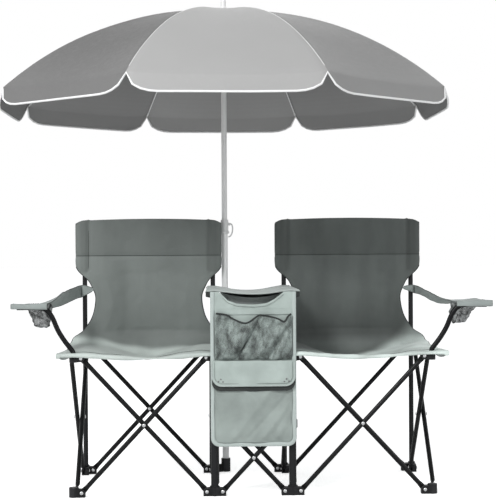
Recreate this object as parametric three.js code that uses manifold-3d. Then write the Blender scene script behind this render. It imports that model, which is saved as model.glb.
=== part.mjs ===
import * as THREE from "three";
import { mergeVertices } from "three/addons/utils/BufferGeometryUtils.js";
import Module from "manifold-3d";

// Folding double camping chair with a centre table, bags and a sun umbrella.
// Millimetres, +Z up, the sitter faces -Y. Every leg pair is a scissor, and all fold together.

const wasm = await Module();
wasm.setup();

// Scissor frame
const chairSpan = 443; // post axis to post axis, across a chair and front to back
const crossLength = 577; // pivot to pivot along a scissor tube
const centreShare = 0.5; // the centre scissor's tubes against the chair's
const pivotInset = 25; // pivot to post axis
const footPivotHeight = 14;
const tubeRadius = 7.5;
const crossOffset = 8; // tube axis to the scissor's plane
const tongueOffset = 5; // flattened end to the scissor's plane
const tongueHalfThickness = 2.5;
const tongueHalfWidth = 9;
const tongueEnd = 8.5; // pivot to the end of the tube
const tongueLength = 12; // pivot to where the flat ends
const flareLength = 16;
const pinRadius = 3;
const pinClearance = 0.5;
const rivetHeadRadius = 5.5;
const rivetHeadHeight = 1.6;
const runningGap = 0.5;
const seatGap = 0.3; // between pieces that rest on one another

// Posts, feet and sliders
const rearPostRadius = 8;
const frontPostRadius = 11.5;
const rearPostTop = 870;
const frontPostTop = 645;
const armHalfWidth = 12; // moulded arm that holds a tube end
const armEndRadius = 11;
const footHeight = 27;
const footWall = 4;
const footFloor = 4;
const sliderHalfHeight = 13;
const sliderWall = 4;
const slotClearance = 0.5;

// Arm posts and armrests
const armPostRadius = 7.75;
const armReach = 192; // outer column to the tip of the armrest
const armRise = 160; // seat pivot to the axis of the bar under the armrest
const armPostInset = 17; // armrest tip to the end of that bar
const armStripHalfWidth = 56;
const armRearHalfHeight = 26;
const armRearRise = 196; // seat pivot to the middle of the armrest's rear end
const armLipDrop = 16;
const cupRadius = 38.5;
const cupFootRadius = 29;
const cupDepth = 66;
const cupWall = 2.5;
const cupSetback = 58; // armrest bar to the cup's middle

// Seats and backs
const clothThickness = 4;
const clothGap = 0.4;
const seatOuterOverhang = 52;
const seatInnerOverhang = 20;
const seatFrontOverhang = 19.5;
const seatFlat = 40; // level cloth around each post
const seatSag = 38;
const hemSag = 11;
const hemDrop = 12;
const backSetback = 12; // back cloth's middle surface to the rear post axis
const backBend = 44;
const backSag = 26;
const backTopSag = 5;
const backTop = 878;
const waistInset = 39;
const pocketHeight = 188;
const pocketOverhang = 31;
const pocketInset = 19;
const pocketHalfDepth = 14;
const pocketCap = 4;

// Table, storage bag and organizer
const tableOverhang = 24;
const tableFrontOverhang = 14;
const tableRearOverhang = 3;
const tableSag = 15;
const bagSideInset = 25.25; // centre post axis to the bag's side
const bagTop = 612;
const bagDepth = 262;
const bagWall = 3;
const bagLoopHeight = 22;
const bagFrontInset = 18;
const bagRearInset = 26;
const organizerOverhang = 9.75; // past the centre posts' axes
const organizerTop = 636;
const organizerDip = 34;
const organizerHeight = 477;
const organizerCorner = 26;
const organizerThickness = 3;
const organizerGap = 1.4;
const meshPocketTop = 578;
const meshPocketHeight = 150;
const meshPocketInset = 15; // organizer's edge to the pockets' sides
const meshPocketDepth = 6;
const lowPocketHeight = 232;
const lowPocketDepth = 9;
const flapHeight = 80;
const flapInset = 3;
const flapCorner = 18;
const flapThickness = 3;
const loopWall = 2.5;

// Umbrella
const poleSide = 42; // rear post axis to pole axis, sideways
const poleBack = 23; // and backwards
const lowerPoleRadius = 11;
const lowerPoleBore = 9.9;
const lowerPoleTop = 868;
const boreDepth = 520;
const upperPoleRadius = 9.5;
const upperPoleEnd = 470;
const socketHeight = 46;
const socketWall = 4.5;
const guideHeight = 22;
const webHalfWidth = 6;
const collarRadius = 13.5;
const collarBottom = 829;
const collarTop = 878;
const collarLip = 3;
const collarLipHeight = 7;
const lockPinHeight = 862;
const lockPinRadius = 3;
const lockPinHead = 5;
const loopReach = 26;
const loopDrop = 43; // pin axis to the foot of its loop
const loopHalfWidth = 6;
const loopThickness = 3;
const canopyRadius = 780;
const canopyCurve = 1172;
const canopyTop = 1606;
const canopyThickness = 2.5;
const canopyHole = 10;
const valanceDrop = 62;
const valanceFlare = 26;
const valanceHem = 4;
const ribCount = 8;
const ribRadius = 2.2;
const ribGap = 1.2;
const ribSetback = 8;
const ribPivotRadius = 16;
const ribTongue = 1.5;
const ribSlotDepth = 4.5;
const crownRadius = 22;
const crownHeight = 18;
const crownGap = 4;
const crownSlotHalf = 2.2;
const spindleRadius = 7;
const finialRadius = 13;
const finialHeight = 44;
const runnerHeight = 1385;
const runnerHalfHeight = 15;
const runnerRadius = 14;
const runnerFlange = 18;

// Faces on round work, and the overrun of a cut
const roundSides = 8;
const tubeSides = 8;
const pinSides = 6;
const poleSides = 12;
const cupSides = 12;
const ribSides = 5;
const footArcSteps = 2;
const sliderArcSteps = 4;
const armPostSteps = 13;
const panelArcSteps = 6;
const loopArcSteps = 5;
const cutOverrun = 20;

// Sizes worked out from those above
const openAngle = Math.acos((chairSpan - 2 * pivotInset) / crossLength);
const centreSpan = 2 * pivotInset + centreShare * (chairSpan - 2 * pivotInset);
const seatPivotHeight = footPivotHeight + crossLength * Math.sin(openAngle);
const lowPivotHeight = footPivotHeight + centreShare * crossLength * Math.sin(openAngle);
const outerX = centreSpan / 2 + chairSpan;
const bagHalfWidth = centreSpan / 2 - bagSideInset;
const organizerHalfWidth = centreSpan / 2 + organizerOverhang;
const meshPocketHalfWidth = organizerHalfWidth - meshPocketInset;
const flapHalfWidth = organizerHalfWidth - flapInset;
const loopFoot = lockPinHeight - loopDrop;
const rowY = chairSpan / 2;
const seatZ = seatPivotHeight + sliderHalfHeight + clothGap + clothThickness / 2;
const seatFrontY = -rowY - seatFrontOverhang;
const poleX = -centreSpan / 2 + poleSide;
const poleY = rowY + poleBack;
const up = new THREE.Vector3(0, 0, 1);

// Materials
const materials = {
  frame: new THREE.MeshStandardMaterial({ color: 0x17181a, roughness: 0.42, metalness: 0.6 }),
  moulding: new THREE.MeshStandardMaterial({ color: 0x1b1c1e, roughness: 0.6, metalness: 0 }),
  cloth: new THREE.MeshStandardMaterial({ color: 0x66706c, roughness: 0.9, metalness: 0 }),
  lightCloth: new THREE.MeshStandardMaterial({ color: 0xa0aca6, roughness: 0.9, metalness: 0 }),
  canopy: new THREE.MeshStandardMaterial({ color: 0xa9acab, roughness: 0.85, metalness: 0 }),
  pole: new THREE.MeshStandardMaterial({ color: 0xcfd0d0, roughness: 0.35, metalness: 0.5 }),
  fitting: new THREE.MeshStandardMaterial({ color: 0xe6e6e4, roughness: 0.5, metalness: 0 }),
};

// A closed geometry becomes a solid, turned the right way out.
function solidOf(geometry, matrix) {
  const bare = geometry.clone();
  bare.deleteAttribute("normal");
  bare.deleteAttribute("uv");
  const merged = mergeVertices(bare);
  const index = Array.from(merged.index.array);
  const position = merged.attributes.position;
  const corner = (k) => new THREE.Vector3().fromBufferAttribute(position, index[k]);
  let volume = 0;
  for (let k = 0; k < index.length; k += 3) {
    volume += corner(k).dot(corner(k + 1).cross(corner(k + 2)));
  }
  if (volume < 0) {
    index.reverse();
  }
  if (matrix) {
    merged.applyMatrix4(matrix);
  }
  return new wasm.Manifold(
    new wasm.Mesh({
      numProp: 3,
      vertProperties: new Float32Array(merged.attributes.position.array),
      triVerts: new Uint32Array(index),
    }),
  );
}

function geometryOf(solid) {
  const { vertProperties, triVerts, numProp } = solid.getMesh();
  const count = vertProperties.length / numProp;
  const position = new Float32Array(count * 3);
  for (let k = 0; k < count; k += 1) {
    for (let axis = 0; axis < 3; axis += 1) {
      position[k * 3 + axis] = vertProperties[k * numProp + axis];
    }
  }
  const geometry = new THREE.BufferGeometry();
  geometry.setAttribute("position", new THREE.BufferAttribute(position, 3));
  geometry.setIndex(new THREE.BufferAttribute(new Uint32Array(triVerts), 1));
  geometry.computeVertexNormals();
  return geometry;
}

const join = (solids) => solids.reduce((whole, piece) => whole.add(piece));
const cut = (solid, tools) => tools.reduce((whole, tool) => whole.subtract(tool), solid);
const move = (x, y, z) => new THREE.Matrix4().makeTranslation(x, y, z);
const mix = (a, b, share) => a + (b - a) * share;
const smooth = (share) => share * share * (3 - 2 * share);
const clampShare = (share) => Math.min(1, Math.max(0, share));

// A round bar between two points, or a cone frustum
function bar(from, to, radius, sides = roundSides, endRadius = radius) {
  const along = new THREE.Vector3().subVectors(to, from);
  const geometry = new THREE.CylinderGeometry(endRadius, radius, along.length(), sides);
  const turn = new THREE.Quaternion().setFromUnitVectors(
    new THREE.Vector3(0, 1, 0),
    along.clone().normalize(),
  );
  const middle = new THREE.Vector3().addVectors(from, to).multiplyScalar(0.5);
  return solidOf(geometry, new THREE.Matrix4().compose(middle, turn, new THREE.Vector3(1, 1, 1)));
}

const point = (x, y, z) => new THREE.Vector3(x, y, z);
const upright = (x, y, low, high, radius, sides) =>
  bar(point(x, y, low), point(x, y, high), radius, sides);

function block(lowX, highX, lowY, highY, lowZ, highZ) {
  const geometry = new THREE.BoxGeometry(highX - lowX, highY - lowY, highZ - lowZ);
  return solidOf(geometry, move((lowX + highX) / 2, (lowY + highY) / 2, (lowZ + highZ) / 2));
}

// A profile of radius and height pairs, turned about the Z axis
function turned(profile, sides = roundSides) {
  const points = profile.map(([radius, height]) => new THREE.Vector2(radius, height));
  const geometry = new THREE.LatheGeometry(points, sides);
  return solidOf(geometry, new THREE.Matrix4().makeRotationX(Math.PI / 2));
}

// Closed surface through rings of equally many points, with flat ends
function loft(rings) {
  const count = rings[0].length;
  const positions = [];
  const index = [];
  for (const ring of rings) {
    for (const p of ring) {
      positions.push(p.x, p.y, p.z);
    }
  }
  for (let row = 0; row + 1 < rings.length; row += 1) {
    for (let k = 0; k < count; k += 1) {
      const a = row * count + k;
      const b = row * count + ((k + 1) % count);
      index.push(a, b, b + count, a, b + count, a + count);
    }
  }
  const last = (rings.length - 1) * count;
  for (let k = 1; k + 1 < count; k += 1) {
    index.push(0, k + 1, k, last, last + k, last + k + 1);
  }
  const geometry = new THREE.BufferGeometry();
  geometry.setAttribute("position", new THREE.Float32BufferAttribute(positions, 3));
  geometry.setIndex(index);
  return solidOf(geometry);
}

// Cloth: points on its middle surface, given a thickness. A ring of cloth closes on itself.
function cloth(grid, thickness, closed = false) {
  const rows = grid.length;
  const columns = grid[0].length;
  const at = (row, column) => {
    const wrapped = closed ? (column + columns) % columns : column;
    return grid[Math.min(rows - 1, Math.max(0, row))][Math.min(columns - 1, Math.max(0, wrapped))];
  };
  const positions = [];
  for (const side of [1, -1]) {
    for (let row = 0; row < rows; row += 1) {
      for (let column = 0; column < columns; column += 1) {
        const across = new THREE.Vector3().subVectors(at(row, column + 1), at(row, column - 1));
        const along = new THREE.Vector3().subVectors(at(row + 1, column), at(row - 1, column));
        const normal = across.cross(along).normalize();
        const p = at(row, column).clone().addScaledVector(normal, (side * thickness) / 2);
        positions.push(p.x, p.y, p.z);
      }
    }
  }
  const other = rows * columns;
  const index = [];
  const quad = (a, b, c, d) => index.push(a, b, c, a, c, d);
  const spans = closed ? columns : columns - 1;
  for (let row = 0; row + 1 < rows; row += 1) {
    for (let column = 0; column < spans; column += 1) {
      const a = row * columns + column;
      const b = row * columns + ((column + 1) % columns);
      quad(a, b, b + columns, a + columns);
      quad(other + a, other + a + columns, other + b + columns, other + b);
    }
  }
  for (let column = 0; column < spans; column += 1) {
    const next = (column + 1) % columns;
    const end = (rows - 1) * columns;
    quad(other + column, other + next, next, column);
    quad(end + column, end + next, other + end + next, other + end + column);
  }
  for (let row = 0; !closed && row + 1 < rows; row += 1) {
    const a = row * columns;
    const z = a + columns - 1;
    quad(a, a + columns, other + a + columns, other + a);
    quad(other + z, other + z + columns, z + columns, z);
  }
  const geometry = new THREE.BufferGeometry();
  geometry.setAttribute("position", new THREE.Float32BufferAttribute(positions, 3));
  geometry.setIndex(index);
  return solidOf(geometry);
}

// The eight corners of the frame, each with the scissor ends that it holds
const corners = {};
const sideX = {
  left_outer: -outerX,
  left_centre: -centreSpan / 2,
  right_centre: centreSpan / 2,
  right_outer: outerX,
};
for (const [row, y] of [["front", -rowY], ["rear", rowY]]) {
  for (const [side, x] of Object.entries(sideX)) {
    corners[`${row}_${side}`] = { row, side, x, y, foot: [], seat: [], low: [] };
  }
}

const scissors = [
  { name: "side_left_centre", from: "rear_left_centre", to: "front_left_centre" },
  { name: "rear_left", from: "rear_left_centre", to: "rear_left_outer" },
  { name: "front_left", from: "front_left_centre", to: "front_left_outer" },
  { name: "side_left_outer", from: "rear_left_outer", to: "front_left_outer" },
  { name: "front_centre", from: "front_left_centre", to: "front_right_centre", centre: true },
  { name: "side_right_centre", from: "front_right_centre", to: "rear_right_centre" },
  {
    name: "rear_centre",
    from: "rear_left_centre",
    to: "rear_right_centre",
    centre: true,
    single: true,
  },
  { name: "front_right", from: "front_right_centre", to: "front_right_outer" },
  { name: "rear_right", from: "rear_right_centre", to: "rear_right_outer" },
  { name: "side_right_outer", from: "rear_right_outer", to: "front_right_outer" },
];

for (const scissor of scissors) {
  const from = corners[scissor.from];
  const to = corners[scissor.to];
  scissor.along = point(to.x - from.x, to.y - from.y, 0).normalize();
  scissor.across = new THREE.Vector3().crossVectors(scissor.along, up);
  scissor.length = scissor.centre ? centreShare * crossLength : crossLength;
  const back = scissor.along.clone().negate();
  const upper = scissor.centre ? "low" : "seat";
  const across = scissor.across;
  if (scissor.single) {
    to.foot.push({ along: back, across, side: 1 });
    from[upper].push({ along: scissor.along, across, side: 1 });
  } else {
    from.foot.push({ along: scissor.along, across, side: 1 });
    to.foot.push({ along: back, across, side: -1 });
    from[upper].push({ along: scissor.along, across, side: -1 });
    to[upper].push({ along: back, across, side: 1 });
  }
}

// Places a shape drawn along, up and across a scissor's plane
function planeMatrix(along, height = 0) {
  const across = new THREE.Vector3().crossVectors(along, up);
  return new THREE.Matrix4().makeBasis(along, up, across).setPosition(0, 0, height);
}

// A rivet with two domed heads, across the scissor's plane at the given place
function rivet(along, across, reach, height, low, high, shaft = pinRadius) {
  const base = along.clone().multiplyScalar(reach);
  base.z += height;
  const place = (offset) => base.clone().addScaledVector(across, offset);
  return join([
    bar(place(low), place(high), shaft, pinSides),
    bar(place(low + seatGap), place(low - rivetHeadHeight), rivetHeadRadius, pinSides),
    bar(place(high - seatGap), place(high + rivetHeadHeight), rivetHeadRadius, pinSides),
  ]);
}

// A moulded arm with a slot for one tube end, around the pivot at height zero.
// A foot's arm reaches down to the floor and its slot opens upwards; a slider's opens downwards.
function mouldedArm(end, foot) {
  const low = foot ? -footPivotHeight : -armEndRadius;
  const high = foot ? footHeight - footPivotHeight : sliderHalfHeight;
  const shape = new THREE.Shape();
  const reach = pivotInset + armEndRadius;
  shape.moveTo(0, foot ? low : -sliderHalfHeight);
  if (foot) {
    shape.lineTo(reach, low);
    shape.lineTo(reach, 0);
    shape.absarc(pivotInset, 0, armEndRadius, 0, Math.PI / 2, false);
  } else {
    shape.lineTo(pivotInset, low);
    shape.absarc(pivotInset, 0, armEndRadius, -Math.PI / 2, Math.PI / 2, false);
  }
  shape.lineTo(0, high);
  shape.closePath();
  const body = new THREE.ExtrudeGeometry(shape, {
    depth: 2 * armHalfWidth,
    bevelEnabled: false,
    curveSegments: foot ? footArcSteps : sliderArcSteps,
  });
  body.translate(0, 0, -armHalfWidth);
  const offset = end.side * Math.sign(end.across.dot(new THREE.Vector3().crossVectors(end.along, up)));
  const slotHalf = tongueHalfThickness + slotClearance;
  const slotStart = pivotInset - tongueHalfWidth - 2 * slotClearance;
  const slotLow = foot ? footFloor - footPivotHeight : -sliderHalfHeight - cutOverrun;
  const slotHigh = foot ? footHeight + cutOverrun : tongueHalfWidth + 2 * slotClearance;
  const slot = block(
    slotStart,
    reach + cutOverrun,
    slotLow,
    slotHigh,
    offset * tongueOffset - slotHalf,
    offset * tongueOffset + slotHalf,
  );
  const matrix = planeMatrix(end.along);
  return {
    body: solidOf(body, matrix),
    slot: slot.transform(matrix.toArray()),
    pin: rivet(end.along, end.across, pivotInset, 0, -armHalfWidth, armHalfWidth),
  };
}

// A hub on a post with its arms, slots and rivets, around the pivots' height
function hubWithArms(ends, radius, low, high, foot) {
  const arms = ends.map((end) => mouldedArm(end, foot));
  const body = join([upright(0, 0, low, high, radius), ...arms.map((arm) => arm.body)]);
  return { body, slots: arms.map((arm) => arm.slot), pins: arms.map((arm) => arm.pin) };
}

const postRadius = (corner) => (corner.row === "rear" ? rearPostRadius : frontPostRadius);
const hasPost = (corner) => corner.row === "rear" || corner.side.endsWith("centre");
const holdsPole = (corner) => corner.row === "rear" && corner.side === "left_centre";

// Web between the rear post's hub and the umbrella pole's ring
function poleWeb(low, high) {
  const length = Math.hypot(poleSide, poleBack);
  const web = block(0, length, -webHalfWidth, webHalfWidth, low, high);
  return web.rotate([0, 0, THREE.MathUtils.radToDeg(Math.atan2(poleBack, poleSide))]);
}

// Foot, with its post where the corner has one and the umbrella socket at the pole's corner
function footSolid(corner) {
  const radius = postRadius(corner);
  const hub = hubWithArms(
    corner.foot,
    radius + footWall,
    -footPivotHeight,
    footHeight + footWall - footPivotHeight,
    true,
  );
  let body = hub.body;
  if (holdsPole(corner)) {
    const outer = lowerPoleRadius + runningGap + socketWall;
    const low = -footPivotHeight;
    const socket = upright(poleSide, poleBack, low, low + socketHeight, outer, poleSides);
    const web = poleWeb(low, footHeight - footPivotHeight);
    const bore = upright(
      poleSide,
      poleBack,
      low + footFloor,
      low + socketHeight + cutOverrun,
      lowerPoleRadius + runningGap,
      poleSides,
    );
    body = join([body, web, socket]).subtract(bore);
  }
  const pieces = [cut(body, hub.slots), ...hub.pins];
  if (hasPost(corner)) {
    const top = corner.row === "rear" ? rearPostTop : frontPostTop;
    pieces.push(upright(0, 0, footFloor - footPivotHeight, top - footPivotHeight, radius));
  }
  return join(pieces);
}

// Slider on a post: at seat height, or lower for the centre scissor
function sliderSolid(corner, ends) {
  const radius = postRadius(corner);
  const hub = hubWithArms(
    ends,
    radius + runningGap + sliderWall,
    -sliderHalfHeight,
    sliderHalfHeight,
    false,
  );
  let body = hub.body;
  const bores = [
    upright(
      0,
      0,
      -sliderHalfHeight - cutOverrun,
      sliderHalfHeight + cutOverrun,
      radius + runningGap,
    ),
  ];
  if (holdsPole(corner) && ends === corner.seat) {
    const half = guideHeight / 2;
    const outer = lowerPoleRadius + runningGap + socketWall;
    const ring = upright(poleSide, poleBack, -half, half, outer, poleSides);
    const web = poleWeb(-half, half);
    body = join([body, web, ring]);
    bores.push(
      upright(
        poleSide,
        poleBack,
        -half - cutOverrun,
        half + cutOverrun,
        lowerPoleRadius + runningGap,
        poleSides,
      ),
    );
  }
  return join([cut(body, [...hub.slots, ...bores]), ...hub.pins]);
}

// The outer front joint carries the bent tube that holds up the armrest.
const armPostShares = [
  [0, 0],
  [0, 0.12],
  [0.05, 0.2],
  [0.16, 0.36],
  [0.27, 0.56],
  [0.36, 0.79],
  [0.43, 0.91],
  [0.51, 0.98],
  [0.6, 1],
  [1, 1],
];

function armPostSolid(corner) {
  const out = Math.sign(corner.x);
  const reach = armReach - armPostInset;
  const path = new THREE.CatmullRomCurve3(
    armPostShares.map(([side, rise]) => point(out * side * reach, 0, rise * armRise)),
  );
  const section = new THREE.Shape();
  section.absarc(0, 0, armPostRadius, 0, 2 * Math.PI, false);
  const tube = new THREE.ExtrudeGeometry(section, {
    steps: armPostSteps,
    curveSegments: tubeSides / 2,
    extrudePath: path,
  });
  const hub = hubWithArms(
    corner.seat,
    frontPostRadius + runningGap,
    -sliderHalfHeight,
    sliderHalfHeight,
    false,
  );
  return join([cut(hub.body, hub.slots), ...hub.pins, solidOf(tube)]);
}

// Scissor tube: round along its length, flattened and rounded at both ends.
// Drawn along X from its lower pivot, with its flats across Z, off the scissor's plane by its side.
const tongueTipShare = 0.55;
const tongueShoulderShare = 0.45;

function crossTube(length, side, hole, pin) {
  const ring = (at, halfWidth, halfThickness, offset) => {
    const points = [];
    for (let k = 0; k < tubeSides; k += 1) {
      const angle = (2 * Math.PI * (k + 0.5)) / tubeSides;
      const across = side * offset + Math.sin(angle) * halfThickness;
      points.push(point(at, Math.cos(angle) * halfWidth, across));
    }
    return points;
  };
  const flat = (at, share = 1) => ring(at, tongueHalfWidth * share, tongueHalfThickness, tongueOffset);
  const round = (at) => ring(at, tubeRadius, tubeRadius, crossOffset);
  const shoulder = tongueEnd * tongueShoulderShare;
  const roundStart = tongueLength + flareLength;
  const tube = loft([
    flat(-tongueEnd, tongueTipShare),
    flat(-shoulder),
    flat(tongueLength),
    round(roundStart),
    round(length - roundStart),
    flat(length - tongueLength),
    flat(length + shoulder),
    flat(length + tongueEnd, tongueTipShare),
  ]);
  const holeRadius = pinRadius + pinClearance;
  const drill = (at) =>
    bar(point(at, 0, -cutOverrun), point(at, 0, cutOverrun), holeRadius, pinSides);
  const holes = [drill(0), drill(length)];
  if (hole) {
    holes.push(drill(length / 2));
  }
  let solid = cut(tube, holes);
  if (pin) {
    const far = crossOffset + tubeRadius;
    const x = point(1, 0, 0);
    const z = point(0, 0, side);
    const low = -far - 2 * seatGap;
    const high = far - seatGap;
    solid = solid.add(rivet(x, z, length / 2, 0, low, high));
  }
  return solid;
}

// Armrest: a strip of cloth over the bar of the arm post, twisting upright to pass the rear post,
// with the drink holder sewn into it.
const armStationShares = [0, 0.04, 0.1, 0.17, 0.24, 0.31, 0.4, 0.5, 0.6, 0.7, 0.8, 0.9, 1];
const armTwistStartShare = 0.3;
const armAcrossShares = [-1, -0.6, -0.2, 0.2, 0.6, 1];

function armSolid(out) {
  const barZ = seatPivotHeight + armRise;
  const topZ = barZ + armPostRadius + 3 * clothGap + clothThickness / 2;
  const frontY = -rowY - armPostRadius - clothGap - clothThickness / 2;
  const frontX = outerX + armReach - armStripHalfWidth;
  const rearX = outerX + rearPostRadius + clothGap + clothThickness / 2;
  const rearY = rowY;
  const rearZ = seatPivotHeight + armRearRise;
  const centreAt = (share) => {
    const rise = smooth(clampShare((share - armTwistStartShare) / (1 - armTwistStartShare)));
    const y = mix(frontY, rearY, share);
    const x = mix(frontX, rearX, share);
    return point(x, y, mix(topZ, rearZ, rise));
  };
  const row = (share, lip) => {
    const centre = centreAt(share);
    const turn = smooth(clampShare((share - armTwistStartShare) / (1 - armTwistStartShare)));
    const half = mix(armStripHalfWidth, armRearHalfHeight, smooth(share));
    const angle = (turn * Math.PI) / 2;
    return armAcrossShares.map((across) => {
      const x = centre.x + across * half * Math.cos(angle);
      const z = centre.z - across * half * Math.sin(angle) - lip;
      return point(out * x, centre.y, z);
    });
  };
  const rows = [row(0, armLipDrop), ...armStationShares.map((share) => row(share, 0))];
  const strip = cloth(rows, clothThickness);
  const cupShare = (cupSetback + armPostRadius) / (rearY - frontY);
  const cup = centreAt(cupShare);
  const top = topZ;
  const low = top - cupDepth;
  const holder = turned(
    [
      [0, low],
      [cupFootRadius, low],
      [cupRadius, top],
      [cupRadius - cupWall, top],
      [cupFootRadius - cupWall, low + cupWall],
      [0, low + cupWall],
    ],
    cupSides,
  ).translate([out * cup.x, cup.y, 0]);
  const mouth = upright(
    out * cup.x,
    cup.y,
    top - clothThickness,
    top + cutOverrun,
    cupRadius - cupWall,
    cupSides,
  );
  return join([strip.subtract(mouth), holder]);
}

// One seat and back, cut as a single sling. Rows run from the front hem to the top of the back.
const seatRowShares = [0, 0.12, 0.3, 0.5, 0.7, 0.86, 1];
const acrossShares = [0, 0.13, 0.3, 0.5, 0.7, 0.87, 1];
const backEdgeShares = [
  [0.18, -1.1],
  [0.24, -0.2],
  [0.31, 0.13],
  [0.46, 0.82],
  [0.66, 1],
  [0.8, 0.68],
  [0.94, 0.3],
];
const pocketRowShares = [0, 0.33, 0.66, 1];
const bendShares = [0.33, 0.66];
const deepestShare = 0.75; // of the seat's depth, where the sag is full
const seatWaistShare = 0.35; // of the side overhang, lost halfway along the seat
const edgeFlatShare = 0.33; // of the level cloth, kept inside a drawn-in edge

function slingSolid(side) {
  const out = side === "left" ? -1 : 1;
  const innerX = (out * centreSpan) / 2;
  const backY = rowY - backSetback;
  const bendY = backY - backBend;
  const pocketZ = backTop - pocketHeight;
  // A row of points, given how far the cloth passes each post, and its sag at the middle
  const row = (y, z, outer, inner, sagY, sagZ) => {
    const near = Math.max(seatFlat, seatFlat * edgeFlatShare - inner);
    const far = Math.max(seatFlat, seatFlat * edgeFlatShare - outer);
    const places = [-inner, (near - inner) / 2];
    for (const share of acrossShares) {
      places.push(mix(near, chairSpan - far, share));
    }
    places.push(chairSpan - (far - outer) / 2, chairSpan + outer);
    return places.map((place) => {
      const share = clampShare((place - near) / (chairSpan - far - near));
      const dip = 4 * share * (1 - share);
      return point(innerX + out * place, y + sagY * dip, z - sagZ * dip);
    });
  };
  const seatRow = (share) => {
    const y = mix(seatFrontY, bendY, share);
    const depth = Math.sin((Math.PI / 2) * clampShare(share / deepestShare));
    const sag = mix(hemSag, seatSag, depth);
    const flare = 1 - seatWaistShare * Math.sin(Math.PI * share);
    return row(y, seatZ, seatOuterOverhang * flare, seatInnerOverhang, 0, sag);
  };
  const rows = [
    row(seatFrontY, seatZ - hemDrop, seatOuterOverhang, seatInnerOverhang, 0, hemSag),
    ...seatRowShares.map(seatRow),
  ];
  for (const share of bendShares) {
    const angle = (share * Math.PI) / 2;
    const y = bendY + backBend * Math.sin(angle);
    const z = seatZ + backBend * (1 - Math.cos(angle));
    rows.push(
      row(y, z, seatOuterOverhang, seatInnerOverhang, backSag * share, seatSag * (1 - share)),
    );
  }
  for (const [height, inset] of backEdgeShares) {
    const z = mix(seatZ, pocketZ, height);
    const edge = -waistInset * inset;
    const inner = Math.min(edge, seatInnerOverhang);
    rows.push(row(backY, z, edge, inner, backSag, 0));
  }
  for (const share of pocketRowShares) {
    const z = mix(pocketZ, backTop, share);
    rows.push(row(backY, z, 0, 0, mix(backSag, backTopSag, share), 0));
  }
  const postX = [innerX, innerX + out * chairSpan];
  const pockets = postX.map((x, k) => {
    const outward = k === 0 ? -out : out;
    const centre = (pocketOverhang - pocketInset) / 2;
    const half = (pocketOverhang + pocketInset) / 2;
    const outline = new THREE.Shape();
    outline.absellipse(outward * centre, 0, half, pocketHalfDepth, 0, 2 * Math.PI, false);
    const sleeve = new THREE.ExtrudeGeometry(outline, {
      depth: pocketHeight,
      bevelEnabled: false,
      curveSegments: roundSides / 2,
    });
    return solidOf(sleeve, move(x, rowY, pocketZ));
  });
  const bores = postX.map((x) =>
    upright(x, rowY, pocketZ - cutOverrun, rearPostTop + pocketCap, rearPostRadius + clothGap),
  );
  const holes = postX.map((x, k) =>
    upright(
      x,
      -rowY,
      seatZ - cutOverrun / 2,
      seatZ + cutOverrun / 2,
      (k === 0 ? frontPostRadius : armPostRadius + clothGap) + 2 * clothGap,
    ),
  );
  return cut(join([cloth(rows, clothThickness), ...pockets]), [...bores, ...holes]);
}

// Table top: cloth over the front posts, notched round the rear posts
const tableRowShares = [0, 0.08, 0.25, 0.42, 0.58, 0.75, 0.92, 1];
const tableTaperShare = 0.85; // of the side overhang, left at the rear
const tableFlatShare = 0.33; // of the side overhang, level inside each post

function tableSolid() {
  const z = frontPostTop + clothGap + clothThickness / 2;
  const half = centreSpan / 2;
  const frontY = -rowY - tableFrontOverhang;
  const rearY = rowY + tableRearOverhang;
  const rows = tableRowShares.map((share) => {
    const y = mix(frontY, rearY, share);
    const flat = frontPostRadius + tableOverhang * tableFlatShare;
    const inner = half - flat;
    const edge = half + tableOverhang * mix(1, tableTaperShare, share);
    const places = [-edge, -inner, -inner / 2, 0, inner / 2, inner, edge];
    return places.map((x) => point(x, y, z - tableSag * Math.max(0, 1 - (x / inner) ** 2)));
  });
  const notches = [-half, half].map((x) =>
    upright(x, rowY, z - cutOverrun, z + cutOverrun, rearPostRadius + clothGap),
  );
  return cut(cloth(rows, clothThickness), notches);
}

// Loops of webbing round the centre posts
function postLoop(x, y, radius, low, high) {
  return upright(x, y, low, high, radius + clothGap + loopWall);
}

// A strap standing on edge between two places
function strapBetween(from, to, half, low, high) {
  const across = new THREE.Vector3().subVectors(to, from).cross(up).normalize();
  const section = (place) => {
    const one = place.clone().addScaledVector(across, half);
    const other = place.clone().addScaledVector(across, -half);
    return [
      one.clone().setZ(low),
      one.clone().setZ(high),
      other.clone().setZ(high),
      other.clone().setZ(low),
    ];
  };
  return loft([section(from), section(to)]);
}

// Storage bag: an open box of cloth hung from loops on the four centre posts
function bagSolid() {
  const frontY = -rowY + bagFrontInset;
  const rearY = rowY - bagRearInset;
  const low = bagTop - bagDepth;
  const outer = block(-bagHalfWidth, bagHalfWidth, frontY, rearY, low, bagTop);
  const hollow = block(
    -bagHalfWidth + bagWall,
    bagHalfWidth - bagWall,
    frontY + bagWall,
    rearY - bagWall,
    low + bagWall,
    bagTop + cutOverrun,
  );
  const pieces = [outer.subtract(hollow)];
  const bores = [];
  const loopLow = bagTop - bagLoopHeight;
  for (const side of [-1, 1]) {
    const x = (side * centreSpan) / 2;
    for (const [y, radius, edge] of [
      [-rowY, frontPostRadius, frontY],
      [rowY, rearPostRadius, rearY],
    ]) {
      pieces.push(postLoop(x, y, radius, loopLow, bagTop));
      const near = point(
        side * (bagHalfWidth - bagWall / 2),
        edge - Math.sign(edge) * bagLoopHeight,
        0,
      );
      const strap = strapBetween(near, point(x, y, 0), bagWall / 2, loopLow, bagTop);
      pieces.push(strap);
      bores.push(upright(x, y, loopLow - cutOverrun, bagTop + cutOverrun, radius + clothGap));
    }
  }
  return cut(join(pieces), bores);
}

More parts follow.
